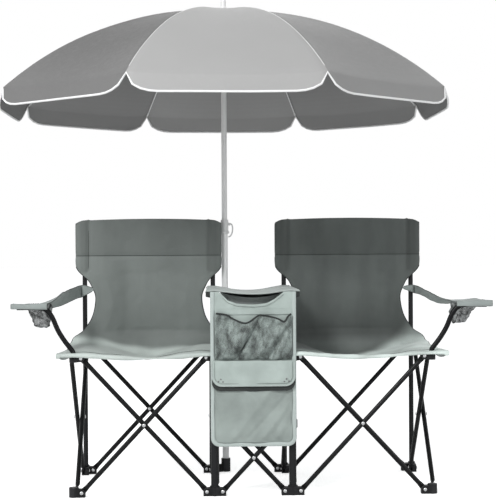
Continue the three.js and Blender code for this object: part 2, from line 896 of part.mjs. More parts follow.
// Organizer panel with its open-topped mesh pocket and lower pocket, looped round the front posts
function roundedPanel(half, low, high, corner, dip) {
  const shape = new THREE.Shape();
  shape.moveTo(-half, high);
  shape.lineTo(-half, low + corner);
  shape.absarc(-half + corner, low + corner, corner, Math.PI, 1.5 * Math.PI, false);
  shape.lineTo(half - corner, low);
  shape.absarc(half - corner, low + corner, corner, 1.5 * Math.PI, 2 * Math.PI, false);
  shape.lineTo(half, high);
  if (dip > 0) {
    shape.quadraticCurveTo(0, high - 2 * dip, -half, high);
  } else {
    shape.closePath();
  }
  return shape;
}

const organizerBack = seatFrontY - clothThickness / 2 - organizerGap;

function panelSolid(shape, thickness, backY) {
  const geometry = new THREE.ExtrudeGeometry(shape, {
    depth: thickness,
    bevelEnabled: false,
    curveSegments: panelArcSteps,
  });
  const matrix = new THREE.Matrix4().makeRotationX(Math.PI / 2).setPosition(0, backY, 0);
  return solidOf(geometry, matrix);
}

function organizerSolid() {
  const low = organizerTop - organizerHeight;
  const front = organizerBack - organizerThickness;
  const panel = panelSolid(
    roundedPanel(organizerHalfWidth, low, organizerTop, organizerCorner, organizerDip),
    organizerThickness,
    organizerBack,
  );
  const pocket = (half, bottom, top, depth) => {
    const outer = block(-half, half, front - depth, front + seatGap, bottom, top);
    const inner = block(
      -half + bagWall,
      half - bagWall,
      front - depth + bagWall,
      front,
      bottom + bagWall,
      top + cutOverrun,
    );
    return outer.subtract(inner);
  };
  const meshBottom = meshPocketTop - meshPocketHeight;
  const lowBottom = low + organizerCorner;
  const pieces = [
    panel,
    pocket(meshPocketHalfWidth, meshBottom, meshPocketTop, meshPocketDepth),
    pocket(meshPocketHalfWidth, lowBottom, lowBottom + lowPocketHeight, lowPocketDepth),
  ];
  const bores = [];
  const loopLow = bagTop + clothGap;
  const loopHigh = organizerTop;
  for (const side of [-1, 1]) {
    const x = (side * centreSpan) / 2;
    pieces.push(postLoop(x, -rowY, frontPostRadius, loopLow, loopHigh));
    const half = organizerThickness;
    pieces.push(block(x - half, x + half, organizerBack - seatGap, -rowY, loopLow, loopHigh));
    bores.push(
      upright(x, -rowY, loopLow - cutOverrun, loopHigh + cutOverrun, frontPostRadius + clothGap),
    );
  }
  return cut(join(pieces), bores);
}

// Flap over the lower pocket, hung from a seam just under the mesh pocket
const flapTop = meshPocketTop - meshPocketHeight - clothGap;
const flapBack = organizerBack - organizerThickness - lowPocketDepth - clothGap;

function flapSolid() {
  const shape = roundedPanel(flapHalfWidth, flapTop - flapHeight, flapTop, flapCorner, 0);
  const panel = panelSolid(shape, flapThickness, flapBack);
  const seamLow = organizerTop - organizerHeight + organizerCorner + lowPocketHeight + clothGap;
  const seam = block(
    -meshPocketHalfWidth,
    meshPocketHalfWidth,
    flapBack - flapThickness / 2,
    organizerBack - organizerThickness - clothGap,
    Math.max(seamLow, flapTop - flapThickness),
    flapTop,
  );
  return panel.add(seam);
}

// Lower pole: plugged at the bottom, open above for the upper pole
function lowerPoleSolid() {
  const bottom = footFloor + seatGap;
  const pole = turned(
    [
      [0, bottom],
      [lowerPoleRadius, bottom],
      [lowerPoleRadius, lowerPoleTop],
      [lowerPoleBore, lowerPoleTop],
      [lowerPoleBore, lowerPoleTop - boreDepth],
      [0, lowerPoleTop - boreDepth],
    ],
    poleSides,
  );
  return pole.subtract(pinHole());
}

const pinHole = () =>
  bar(
    point(upperPoleRadius, 0, lockPinHeight),
    point(collarRadius + cutOverrun, 0, lockPinHeight),
    lockPinRadius + runningGap,
    pinSides,
  );

function collarSolid() {
  const bore = lowerPoleRadius + seatGap;
  const lipTop = collarBottom + collarLipHeight;
  const collar = turned(
    [
      [bore, collarBottom],
      [collarRadius + collarLip, collarBottom],
      [collarRadius + collarLip, lipTop],
      [collarRadius, lipTop + collarLip],
      [collarRadius, collarTop - collarLip],
      [collarRadius - collarLip / 2, collarTop],
      [lowerPoleBore, collarTop],
      [lowerPoleBore, lowerPoleTop + seatGap],
      [bore, lowerPoleTop + seatGap],
      [bore, collarBottom],
    ],
    poleSides,
  );
  return collar.subtract(pinHole());
}

// Locking pin with its bent loop, which clips back against the pole below the collar
function lockPinSolid() {
  const outer = collarRadius + collarLip + runningGap;
  const tip = lowerPoleBore + seatGap;
  const pin = bar(
    point(tip, 0, lockPinHeight),
    point(loopReach, 0, lockPinHeight),
    lockPinRadius,
    pinSides,
  );
  const head = bar(
    point(collarRadius + seatGap, 0, lockPinHeight),
    point(collarRadius + lockPinHead, 0, lockPinHeight),
    lockPinHead,
    pinSides,
  );
  const shape = new THREE.Shape();
  const inner = loopReach - loopThickness;
  const middle = (lockPinHeight + loopFoot) / 2;
  const tall = (lockPinHeight - loopFoot) / 2;
  shape.moveTo(outer, lockPinHeight + loopThickness);
  shape.lineTo(inner, lockPinHeight + loopThickness);
  shape.bezierCurveTo(
    loopReach + loopHalfWidth,
    lockPinHeight + loopThickness,
    loopReach + loopHalfWidth,
    middle - tall / 2,
    loopReach,
    middle - tall / 2,
  );
  shape.bezierCurveTo(
    loopReach - loopThickness,
    loopFoot - loopThickness,
    inner,
    loopFoot - loopThickness,
    lowerPoleRadius + seatGap,
    loopFoot - loopThickness,
  );
  shape.lineTo(lowerPoleRadius + seatGap, loopFoot);
  shape.bezierCurveTo(
    inner - loopThickness,
    loopFoot,
    inner - loopThickness,
    loopFoot,
    loopReach - loopThickness,
    middle - tall / 2,
  );
  shape.bezierCurveTo(
    loopReach + loopHalfWidth - loopThickness,
    middle,
    loopReach,
    lockPinHeight,
    inner,
    lockPinHeight,
  );
  shape.lineTo(outer, lockPinHeight);
  shape.closePath();
  const loop = new THREE.ExtrudeGeometry(shape, {
    depth: 2 * loopHalfWidth,
    bevelEnabled: false,
    curveSegments: loopArcSteps,
  });
  loop.translate(0, 0, -loopHalfWidth);
  return join([pin, head, solidOf(loop, new THREE.Matrix4().makeRotationX(Math.PI / 2))]);
}

// Height of the canopy's inner side above a rib, at a distance from the pole
const domeHeight = (radius) =>
  canopyTop - canopyCurve + Math.sqrt(canopyCurve ** 2 - radius ** 2);
const crownTop = canopyTop - canopyThickness - crownGap;
const ribPivotHeight = crownTop - crownHeight / 2;

// Upper pole with the slotted crown, the spindle through the canopy and the finial
const finialShares = [
  [1, 0],
  [1, 0.22],
  [0.7, 0.36],
  [0.7, 0.8],
  [0.4, 1],
];

function upperPoleSolid() {
  const finialBase = canopyTop + seatGap;
  const crownLow = crownTop - crownHeight;
  const pole = turned(
    [
      [0, upperPoleEnd],
      [upperPoleRadius, upperPoleEnd],
      [upperPoleRadius, crownLow - crownGap],
      [crownRadius, crownLow],
      [crownRadius, crownTop],
      [spindleRadius, crownTop],
      [spindleRadius, finialBase],
      ...finialShares.map(([across, tall]) => [
        finialRadius * across,
        finialBase + finialHeight * tall,
      ]),
      [0, finialBase + finialHeight],
    ],
    poleSides,
  );
  const slots = [];
  for (let k = 0; k < ribCount; k += 1) {
    const slot = block(
      ribPivotRadius - ribSlotDepth,
      crownRadius + cutOverrun,
      -crownSlotHalf,
      crownSlotHalf,
      crownLow - crownGap - cutOverrun / 2,
      ribPivotHeight + ribSlotDepth,
    );
    slots.push(slot.rotate([0, 0, ribAngleDegrees(k)]));
  }
  return cut(pole, slots);
}

const ribAngleDegrees = (k) => (360 * (k + 0.5)) / ribCount - 90;

// A rib follows the canopy from its slot in the crown to the canopy's corner.
const canopyRowShares = [0.17, 0.4, 0.62, 0.83, 1];

function ribSolid() {
  const under = canopyThickness + ribGap + ribRadius;
  const places = [point(ribPivotRadius, 0, ribPivotHeight)];
  for (const share of canopyRowShares) {
    const radius = Math.min(canopyRadius * share, canopyRadius - ribSetback);
    const slope = Math.asin(radius / canopyCurve);
    places.push(point(radius, 0, domeHeight(radius) - under / Math.cos(slope)));
  }
  const rings = places.map((place, k) => {
    const before = places[Math.max(0, k - 1)];
    const after = places[Math.min(places.length - 1, k + 1)];
    const along = new THREE.Vector3().subVectors(after, before).normalize();
    const side = point(0, 1, 0);
    const over = new THREE.Vector3().crossVectors(along, side);
    const half = k === 0 ? ribTongue : ribRadius;
    const ring = [];
    for (let n = 0; n < ribSides; n += 1) {
      const angle = (2 * Math.PI * n) / ribSides;
      ring.push(
        place
          .clone()
          .addScaledVector(side, Math.cos(angle) * half)
          .addScaledVector(over, Math.sin(angle) * half),
      );
    }
    return ring;
  });
  return loft(rings);
}

// Canopy: flat between the ribs, with a hem that drops and flares between the rib tips
const panelShares = [0, 0.12, 0.5, 0.88];
const valanceRowShares = [0.5, 1];
const valanceCornerShare = 0.16;

function canopySolid() {
  const rows = [];
  const rim = (radius, height, extra) => {
    const points = [];
    for (let k = 0; k < ribCount; k += 1) {
      const start = THREE.MathUtils.degToRad(ribAngleDegrees(k));
      const end = THREE.MathUtils.degToRad(ribAngleDegrees(k + 1));
      for (const share of panelShares) {
        const edge = Math.min(share, 1 - share) / valanceCornerShare;
        const drop = extra * Math.sqrt(clampShare(edge * (2 - Math.min(edge, 1))));
        const reach = radius + (valanceFlare * drop) / valanceDrop;
        const x = mix(Math.cos(start), Math.cos(end), share) * reach;
        const y = mix(Math.sin(start), Math.sin(end), share) * reach;
        const hem = extra > 0 ? (valanceHem * extra) / valanceDrop : 0;
        points.push(point(x, y, height - Math.max(drop, hem)));
      }
    }
    return points;
  };
  rows.push(rim(canopyHole, domeHeight(canopyHole) - canopyThickness / 2, 0));
  for (const share of canopyRowShares) {
    const radius = canopyRadius * share;
    rows.push(rim(radius, domeHeight(radius) - canopyThickness / 2, 0));
  }
  for (const share of valanceRowShares) {
    const height = domeHeight(canopyRadius) - canopyThickness / 2;
    rows.push(rim(canopyRadius, height, valanceDrop * share));
  }
  return cloth(rows, canopyThickness, true);
}

// Runner, with a flange near its top that holds the stretchers
const runnerShoulderShare = 0.33;

function runnerSolid() {
  const low = -runnerHalfHeight;
  const bore = upperPoleRadius + seatGap;
  return turned(
    [
      [bore, low],
      [runnerRadius, low],
      [runnerRadius, runnerHalfHeight * runnerShoulderShare],
      [runnerFlange, runnerHalfHeight / 2],
      [runnerFlange, runnerHalfHeight],
      [bore, runnerHalfHeight],
      [bore, low],
    ],
    poleSides,
  );
}

// The model: each piece a named mesh in its place
const model = new THREE.Group();

function addMesh(parent, name, solid, material, x = 0, y = 0, z = 0) {
  const mesh = new THREE.Mesh(geometryOf(solid), material);
  mesh.name = name;
  mesh.position.set(x, y, z);
  parent.add(mesh);
  return mesh;
}

const frameGroup = new THREE.Group();
model.add(frameGroup);
for (const [name, corner] of Object.entries(corners)) {
  const footName = hasPost(corner) ? `post_${name}` : `foot_${name}`;
  const { x, y } = corner;
  addMesh(frameGroup, footName, footSolid(corner), materials.frame, x, y, footPivotHeight);
  if (hasPost(corner)) {
    const slider = sliderSolid(corner, corner.seat);
    addMesh(frameGroup, `seat_slider_${name}`, slider, materials.moulding, x, y, seatPivotHeight);
  } else {
    const armPost = armPostSolid(corner);
    addMesh(frameGroup, `arm_post_${name}`, armPost, materials.frame, x, y, seatPivotHeight);
  }
  if (corner.low.length > 0) {
    const slider = sliderSolid(corner, corner.low);
    addMesh(frameGroup, `low_slider_${name}`, slider, materials.moulding, x, y, lowPivotHeight);
  }
}

for (const scissor of scissors) {
  const plane = new THREE.Group();
  const from = corners[scissor.from];
  const basis = new THREE.Matrix4().makeBasis(scissor.along, up, scissor.across);
  plane.setRotationFromMatrix(basis);
  plane.position.set(from.x, from.y, footPivotHeight);
  plane.position.addScaledVector(scissor.along, pivotInset);
  const { length, name } = scissor;
  const spread = length * Math.cos(openAngle);
  if (!scissor.single) {
    const tube = crossTube(length, 1, false, true);
    const rising = addMesh(plane, `cross_${name}_a`, tube, materials.frame);
    rising.rotation.z = openAngle;
  }
  const side = scissor.single ? 1 : -1;
  const fallingName = scissor.single ? `brace_${name}` : `cross_${name}_b`;
  const tube = crossTube(length, side, !scissor.single, false);
  const falling = addMesh(plane, fallingName, tube, materials.frame, spread);
  falling.rotation.z = Math.PI - openAngle;
  frameGroup.add(plane);
}

for (const side of ["left", "right"]) {
  const out = side === "left" ? -1 : 1;
  addMesh(model, `sling_${side}`, slingSolid(side), materials.cloth);
  addMesh(model, `armrest_${side}`, armSolid(out), materials.lightCloth);
}
addMesh(model, "table_top", tableSolid(), materials.lightCloth);
addMesh(model, "storage_bag", bagSolid(), materials.cloth);
addMesh(model, "organizer", organizerSolid(), materials.lightCloth);
addMesh(model, "pocket_flap", flapSolid(), materials.lightCloth);

const umbrella = new THREE.Group();
umbrella.position.set(poleX, poleY, 0);
model.add(umbrella);
addMesh(umbrella, "pole_lower", lowerPoleSolid(), materials.pole);
addMesh(umbrella, "pole_collar", collarSolid(), materials.fitting);
addMesh(umbrella, "lock_pin", lockPinSolid(), materials.fitting);
addMesh(umbrella, "pole_upper", upperPoleSolid(), materials.pole);
addMesh(umbrella, "runner", runnerSolid(), materials.fitting, 0, 0, runnerHeight);
addMesh(umbrella, "canopy", canopySolid(), materials.canopy);
for (let k = 0; k < ribCount; k += 1) {
  const rib = addMesh(umbrella, `rib_${k + 1}`, ribSolid(), materials.pole);
  rib.rotation.z = THREE.MathUtils.degToRad(ribAngleDegrees(k));
}

// The origin stands on the floor, under the middle of everything.
const bounds = new THREE.Box3().setFromObject(model, true);
model.position.set(-(bounds.min.x + bounds.max.x) / 2, -(bounds.min.y + bounds.max.y) / 2, 0);
const part = new THREE.Group();
part.add(model);

export default part;
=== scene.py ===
import math

import bpy
import numpy as np
from mathutils import Matrix, Vector, noise


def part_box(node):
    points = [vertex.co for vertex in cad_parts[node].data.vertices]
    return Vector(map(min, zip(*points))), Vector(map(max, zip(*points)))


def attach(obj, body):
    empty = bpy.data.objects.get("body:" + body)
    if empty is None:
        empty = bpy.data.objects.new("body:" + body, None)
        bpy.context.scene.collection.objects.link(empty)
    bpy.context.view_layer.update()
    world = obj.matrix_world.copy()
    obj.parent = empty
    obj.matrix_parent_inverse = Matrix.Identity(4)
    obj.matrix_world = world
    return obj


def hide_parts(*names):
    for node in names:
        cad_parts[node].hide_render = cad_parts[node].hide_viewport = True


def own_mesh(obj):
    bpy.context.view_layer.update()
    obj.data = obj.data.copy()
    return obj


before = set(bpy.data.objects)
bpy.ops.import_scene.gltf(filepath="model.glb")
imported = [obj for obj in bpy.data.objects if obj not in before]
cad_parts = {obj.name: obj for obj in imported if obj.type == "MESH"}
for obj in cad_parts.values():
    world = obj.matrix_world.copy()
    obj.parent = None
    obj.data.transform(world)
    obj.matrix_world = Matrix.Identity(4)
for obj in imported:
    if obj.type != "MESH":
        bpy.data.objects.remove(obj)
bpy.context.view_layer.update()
scene = bpy.context.scene
scene.view_settings.view_transform = "Standard"
print("frame loaded,", len(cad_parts), "nodes")

# sizes that several pieces share, in millimetres
size = {
    "span": 443,  # between the posts of one chair
    "inset": 25,  # from a post to the pivots beside it
    "cross": 577,  # between the end pivots of a tube
    "footPivot": 14,
    "rearPost": 8,
    "frontPost": 11.5,
    "rearTop": 870,
    "frontTop": 645,
    "slider": 13,
    "poleX": -81.25,
    "poleY": 244.5,
}
openWidth = size["span"] - 2 * size["inset"]
openAngle = math.acos(openWidth / size["cross"])
seatPivot = size["footPivot"] + size["cross"] * math.sin(openAngle)
centreSpan = 2 * size["inset"] + openWidth / 2
rowY = size["span"] / 2
outerX = centreSpan / 2 + size["span"]
upward = Vector((0, 0, 1))

# places are in the part's millimetres, with x = 0 at the middle of the centre section
poleLow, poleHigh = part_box("pole_lower")
shiftX = (poleLow[0] + poleHigh[0]) * 500 - size["poleX"]
shiftY = (poleLow[1] + poleHigh[1]) * 500 - size["poleY"]


def at(x, y, z):
    return Vector(((x + shiftX) / 1000, (y + shiftY) / 1000, z / 1000))


def gridAt(rows):
    return (np.array(rows, float) + (shiftX, shiftY, 0)) / 1000


def eased(f):
    f = min(1, max(0, f))
    return f * f * (3 - 2 * f)


# camera, from the photograph's perspective; angles in degrees
cameraPlace = {
    "lens": 99.2, "sensor": 36, "reach": 60, "x": -150, "y": -4565, "z": 793.5, "yaw": 1.79,
    "tilt": -0.26, "roll": -0.33
}
cameraData = bpy.data.cameras.new("camera")
cameraData.lens = cameraPlace["lens"]
cameraData.sensor_width = cameraPlace["sensor"]
cameraData.clip_end = cameraPlace["reach"]
camera = bpy.data.objects.new("camera", cameraData)
scene.collection.objects.link(camera)
camera.matrix_world = (
    Matrix.Translation(at(cameraPlace["x"], cameraPlace["y"], cameraPlace["z"]))
    @ Matrix.Rotation(math.radians(-cameraPlace["yaw"]), 4, "Z")
    @ Matrix.Rotation(math.radians(90 + cameraPlace["tilt"]), 4, "X")
    @ Matrix.Rotation(math.radians(cameraPlace["roll"]), 4, "Z")
)
scene.camera = camera


def feed(tree, node, values):
    for key, value in values.items():
        if hasattr(value, "is_output"):
            tree.links.new(value, node.inputs[key])
        else:
            node.inputs[key].default_value = value


def addNode(tree, kind, values=None, **settings):
    node = tree.nodes.new("ShaderNode" + kind)
    for key, value in settings.items():
        setattr(node, key, value)
    feed(tree, node, values or {})
    return node


def startMaterial(name):
    material = bpy.data.materials.new(name)
    material.use_nodes = True
    tree = material.node_tree
    return material, tree, tree.nodes["Principled BSDF"]


def colour(value, factor=1.0):
    return (value[0] * factor, value[1] * factor, value[2] * factor, 1)


def mixColour(tree, factor, a, b, blend="MIX"):
    values = {0: factor, 6: a, 7: b}  # inputs 6 and 7 are the colours; their names repeat
    return addNode(tree, "Mix", values, data_type="RGBA", blend_type=blend).outputs[2]


def noiseOut(tree, coord, scale, detail=3, rough=0.5):
    values = {"Vector": coord, "Scale": scale, "Detail": detail, "Roughness": rough}
    return addNode(tree, "TexNoise", values).outputs["Fac"]


def ramp(tree, value, low, high, lowOut=0.0, highOut=1.0):
    values = {"Value": value, "From Min": low, "From Max": high}
    values.update({"To Min": lowOut, "To Max": highOut})
    return addNode(tree, "MapRange", values).outputs["Result"]


def bump(tree, height, strength, distance, before=None):
    node = addNode(tree, "Bump", {"Height": height, "Strength": strength, "Distance": distance})
    if before is not None:
        tree.links.new(before, node.inputs["Normal"])
    return node.outputs["Normal"]


def turned(tree, coord, angles, scale=(1, 1, 1)):
    values = {"Vector": coord, "Rotation": tuple(map(math.radians, angles)), "Scale": scale}
    return addNode(tree, "Mapping", values).outputs["Vector"]


bandsPerScale = 0.31416  # period of a wave texture of scale 1


def weaveOut(tree, uv, period):
    values = {"Vector": uv, "Scale": bandsPerScale / period, "Distortion": 0.4, "Detail": 1}
    bands = [
        addNode(tree, "TexWave", values, wave_type="BANDS", bands_direction=way).outputs["Fac"]
        for way in ("X", "Y")
    ]
    return addNode(tree, "Math", dict(enumerate(bands)), operation="MAXIMUM").outputs[0]


# what a cloth has unless its own look says otherwise; thread and depths in metres
clothShared = {
    "thread": 0.0011, "vary": 0.1, "broad": 7, "lie": (1, 1, 1), "lieAngle": 12, "fine": 60,
    "worn": 1.18, "between": 0.45, "rough": 0.7, "sheen": 0.1, "crease": 0.2, "creaseDepth": 0.012,
    "rippleDepth": 0.0016, "threadDepth": 0.0003
}
clothLooks = {
    "seat": dict(
        tone="slingPaintedLight", colour=(0.186, 0.206, 0.196), lie=(1, 1, 0.35), rough=0.62, sheen=0.12,
        crease=0.35
    ),
    # the seat cloth made darker for the right chair: painted shade, with stronger patches of
    # painted light and shade
    "rightSeat": dict(
        tone="slingPaintedLight", colour=(0.137, 0.153, 0.146), vary=0.24, broad=8, lie=(1, 1, 0.28),
        rough=0.62, sheen=0.12, crease=0.35
    ),
    "pale": dict(
        colour=(0.41, 0.475, 0.448), vary=0.13, rough=0.68, sheen=0.15, crease=0.4, broad=14
    ),
    "pocket": dict(
        colour=(0.31, 0.355, 0.335), vary=0.2, rough=0.66, sheen=0.15, crease=0.5, broad=9
    ),
    "table": dict(
        colour=(0.5, 0.55, 0.53), thread=0.0012, vary=0.07, rough=0.66, sheen=0.15, crease=0.3,
        broad=12
    ),
    "stitch": dict(colour=(0.2, 0.225, 0.215), thread=0.0009, sheen=0.05),
    "lining": dict(colour=(0.3, 0.325, 0.318), thread=0.0012, vary=0.2, crease=0.4),
    "hem": dict(colour=(0.03, 0.036, 0.034), thread=0.0009, sheen=0.05),
    "binding": dict(colour=(0.46, 0.52, 0.50), thread=0.0016, vary=0.05),
    "arm": dict(colour=(0.30, 0.335, 0.325), vary=0.08, rough=0.66, sheen=0.15, crease=0.35),
    "armEdge": dict(colour=(0.14, 0.155, 0.15), thread=0.0012, vary=0.08),
    "dark": dict(
        colour=(0.03, 0.034, 0.033), thread=0.0013, vary=0.12, rough=0.75, sheen=0.05, crease=0.35
    ),
    "canopy": dict(
        tone="canopyPaintedLight", colour=(0.373, 0.371, 0.369), thread=0.0007, vary=0.03, rough=0.6,
        sheen=0.05, crease=0.12, broad=3
    ),
    "piping": dict(colour=(0.93, 0.93, 0.93), thread=0.0016, vary=0.03, rough=0.6, crease=0.1)
}


def clothMaterial(name, look):
    material, tree, shader = startMaterial(name)
    look = {**clothShared, **look}
    base, vary, rough = look["colour"], look["vary"], look["rough"]
    coords = addNode(tree, "TexCoord").outputs
    weave = weaveOut(tree, coords["UV"], look["thread"])
    lying = turned(tree, coords["Object"], (0, look["lieAngle"], 0), look["lie"])
    broad = noiseOut(tree, lying, look["broad"])
    fine = noiseOut(tree, coords["Object"], look["fine"], 4, 0.6)
    # darker and paler patches from the noise that also drives the crease bump: partly random tone,
    # partly painted shade and light on soft folds
    patches = ramp(tree, broad, 0.3, 0.7)
    cloth = mixColour(tree, patches, colour(base, 1 - vary), colour(base, 1 + vary))
    wear = ramp(tree, fine, 0.5, 0.8, 0, 0.25)
    cloth = mixColour(tree, wear, cloth, colour(base, look["worn"]))
    # multiplies in painted light and shade from a colour attribute on the mesh
    if "tone" in look:
        tone = addNode(tree, "Attribute", attribute_name=look["tone"]).outputs["Color"]
        cloth = mixColour(tree, 1.0, cloth, tone, "MULTIPLY")
    gaps = ramp(tree, weave, 0.3, 1, 0.16, 0)
    crease = bump(tree, broad, look["crease"], look["creaseDepth"])
    ripple = bump(tree, fine, look["crease"] * 0.5, look["rippleDepth"], crease)
    values = {
        "Base Color": mixColour(tree, gaps, cloth, colour(base, look["between"])),
        "Roughness": ramp(tree, fine, 0.3, 0.7, rough - 0.07, rough + 0.07),
        "Sheen Weight": look["sheen"], "Sheen Roughness": 0.45, "Specular IOR Level": 0.35,
        "Normal": bump(tree, weave, 0.35, look["threadDepth"], ripple)
    }
    feed(tree, shader, values)
    return material


netLooks = {
    "net": dict(
        colour=(0.2, 0.235, 0.222), thread=0.0032, open=0.34, mottle=44, shade=(0.3, 1.75),
        lie=(1, 1, 0.55)
    ),
    "holderNet": dict(
        colour=(0.3, 0.31, 0.31), thread=0.0036, open=0.42, mottle=55, shade=(0.03, 1.7),
        lie=(1, 1, 1)
    )
}


def netMaterial(name, look):
    material, tree, shader = startMaterial(name)
    base, mottle, gap = look["colour"], look["mottle"], look["open"]
    coords = addNode(tree, "TexCoord").outputs
    weave = weaveOut(tree, turned(tree, coords["UV"], (0, 0, 45)), look["thread"])
    lying = turned(tree, coords["Object"], (0, -30, 0), look["lie"])
    # patches of painted shade and painted light standing for the crumpled net's folds
    patches = ramp(tree, noiseOut(tree, lying, mottle, 5, 0.65), 0.38, 0.62)
    low, high = (colour(base, share) for share in look["shade"])
    specks = noiseOut(tree, coords["Object"], mottle * 9, 3, 0.7)
    specks = ramp(tree, specks, 0.52, 0.68, 0, 0.75)
    paintedFoldShade = mixColour(tree, patches, low, high)
    values = {
        "Base Color": mixColour(tree, specks, paintedFoldShade, colour(base, 0.12)), "Roughness": 0.62,
        "Specular IOR Level": 0.5, "Alpha": ramp(tree, weave, gap, gap + 0.12),
        "Normal": bump(tree, weave, 0.5, 0.0006)
    }
    feed(tree, shader, values)
    return material


blackWorn = (0.03, 0.031, 0.033)
paleWorn = (0.85, 0.85, 0.85)
paintLooks = {
    "stud": dict(
        colour=(0.05, 0.055, 0.055), vary=1.5, worn=(0.3, 0.3, 0.3), rough=0.35, grain=900,
        bump=0.1, shine=0.4
    ),
    "frame": dict(
        colour=(0.0035, 0.0037, 0.004), vary=1.8, worn=blackWorn, rough=0.3, grain=900, bump=0.2,
        shine=0.14
    ),
    "moulding": dict(
        colour=(0.005, 0.0053, 0.0056), vary=1.6, worn=(0.03, 0.03, 0.032), rough=0.42, grain=1400,
        bump=0.3, shine=0.14
    ),
    "rivet": dict(
        colour=(0.62, 0.63, 0.64), vary=0.8, worn=(0.8, 0.8, 0.8), rough=0.28, grain=500, bump=0.15,
        metal=1
    ),
    "pole": dict(
        colour=(0.82, 0.82, 0.82), vary=0.95, worn=paleWorn, rough=0.34, grain=700, bump=0.1,
        coat=0.12
    ),
    "fitting": dict(
        colour=(0.74, 0.745, 0.745), vary=0.94, worn=paleWorn, rough=0.4, grain=1200, bump=0.2
    )
}


def paintMaterial(name, look):
    material, tree, shader = startMaterial(name)
    base, rough = look["colour"], look["rough"]
    place = addNode(tree, "TexCoord").outputs["Object"]
    pointed = addNode(tree, "NewGeometry").outputs["Pointiness"]
    grain = noiseOut(tree, place, look["grain"], 4, 0.6)
    marks = noiseOut(tree, place, look["grain"] / 12, 6, 0.7)
    patches = ramp(tree, marks, 0.35, 0.75)
    paint = mixColour(tree, patches, colour(base), colour(base, look["vary"]))
    edges = ramp(tree, pointed, 0.52, 0.62)
    values = {
        "Base Color": mixColour(tree, edges, paint, colour(look["worn"])),
        "Roughness": ramp(tree, marks, 0.3, 0.8, rough - 0.05, rough + 0.12),
        "Metallic": look.get("metal", 0), "Coat Weight": look.get("coat", 0),
        "Coat Roughness": 0.25, "Specular IOR Level": look.get("shine", 0.5),
        "Normal": bump(tree, grain, look["bump"], 0.0004)
    }
    feed(tree, shader, values)
    return material


surfaces = {}
for make, looks in (
    (clothMaterial, clothLooks), (netMaterial, netLooks), (paintMaterial, paintLooks)
):
    for name, look in looks.items():
        surfaces[name] = make(name, look)
print("materials made,", len(surfaces))


def placePiece(name, mesh, finish):
    mesh.materials.append(surfaces[finish])
    piece = bpy.data.objects.new(name, mesh)
    scene.collection.objects.link(piece)
    return piece


def meshPiece(name, form, finish, sharp=60):
    points, faces = form
    mesh = bpy.data.meshes.new(name)
    mesh.from_pydata([tuple(p) for p in points], [], faces)
    mesh.validate()
    mesh.shade_smooth()
    mesh.set_sharp_from_angle(angle=math.radians(sharp))
    return placePiece(name, mesh, finish)


def gather(parts):
    points, faces = [], []
    for partPoints, partFaces in parts:
        start = len(points)
        points.extend(partPoints)
        faces.extend([tuple(k + start for k in face) for face in partFaces])
    return points, faces


def circle(sides, offset=0):
    angles = [2 * math.pi * (n + offset) / sides for n in range(sides)]
    return [(math.cos(angle), math.sin(angle)) for angle in angles]


def ringFaces(rings, sides, ends=2):
    # ends: 2 closes both, 1 only the last, 0 joins the last ring to the first
    total = rings * sides
    faces = []
    for k in range(rings - 1 if ends else rings):
        for n in range(sides):
            a, b = k * sides + n, k * sides + (n + 1) % sides
            faces.append((a, b, (b + sides) % total, (a + sides) % total))
    if ends == 2:
        faces.append(tuple(range(sides))[::-1])
    if ends:
        faces.append(tuple(range(total - sides, total)))
    return faces


def ringTube(path, radius, sides=16):
    # round tube along points, radius one number or one for each point
    path = [Vector(p) for p in path]
    radii = radius if hasattr(radius, "__len__") else [radius] * len(path)
    side = (path[1] - path[0]).normalized().orthogonal().normalized()
    points = []
    for k, place in enumerate(path):
        along = (path[min(k + 1, len(path) - 1)] - path[max(k - 1, 0)]).normalized()
        side = (side - along * side.dot(along)).normalized()
        over = along.cross(side)
        points += [place + side * (c * radii[k]) + over * (s * radii[k]) for c, s in circle(sides)]
    return points, ringFaces(len(path), sides)


def lathe(x, y, profile, sides=32):
    # profile of radius and height, turned about a vertical line
    points = [at(x + r * c, y + r * s, z) for r, z in profile for c, s in circle(sides)]
    return points, ringFaces(len(profile), sides)


def smoothAlong(grid, count):
    steps = np.linalg.norm(np.diff(grid, axis=0), axis=2).mean(axis=1)
    steps = np.maximum(steps, 1e-6)
    t = np.concatenate([[0], np.cumsum(steps)])
    tangents = np.empty_like(grid)
    tangents[1:-1] = (grid[2:] - grid[:-2]) / (t[2:] - t[:-2])[:, None, None]
    tangents[0] = (grid[1] - grid[0]) / steps[0]
    tangents[-1] = (grid[-1] - grid[-2]) / steps[-1]
    out = []
    for s in np.linspace(0, t[-1], count):
        k = min(int(np.searchsorted(t, s, side="right")) - 1, len(t) - 2)
        h = t[k + 1] - t[k]
        f = (s - t[k]) / h
        out.append(
            (2 * f**3 - 3 * f**2 + 1) * grid[k]
            + (f**3 - 2 * f**2 + f) * h * tangents[k]
            + (3 * f**2 - 2 * f**3) * grid[k + 1]
            + (f**3 - f**2) * h * tangents[k + 1]
        )
    return np.array(out)


def smoothGrid(rows, rowCount, columnCount):
    dense = smoothAlong(gridAt(rows), rowCount)
    return smoothAlong(dense.transpose(1, 0, 2), columnCount).transpose(1, 0, 2)


def smoothPath(points, count):
    grid = np.array([[list(p)] for p in points], float)
    return [Vector(p[0]) for p in smoothAlong(grid, count)]


def gridNormals(grid, closed=False):
    if closed:
        across = np.roll(grid, -1, axis=1) - np.roll(grid, 1, axis=1)
    else:
        across = np.gradient(grid, axis=1)
    normal = np.cross(across, np.gradient(grid, axis=0))
    return normal / np.maximum(np.linalg.norm(normal, axis=2, keepdims=True), 1e-12)


def stepLengths(grid, axis):
    return np.linalg.norm(np.diff(grid, axis=axis), axis=2)


def gridUv(grid):
    v = np.concatenate([[0], np.cumsum(stepLengths(grid, 0).mean(axis=1))])
    u = np.concatenate([[0], np.cumsum(stepLengths(grid, 1).mean(axis=0))])
    return np.dstack(np.meshgrid(u, v))


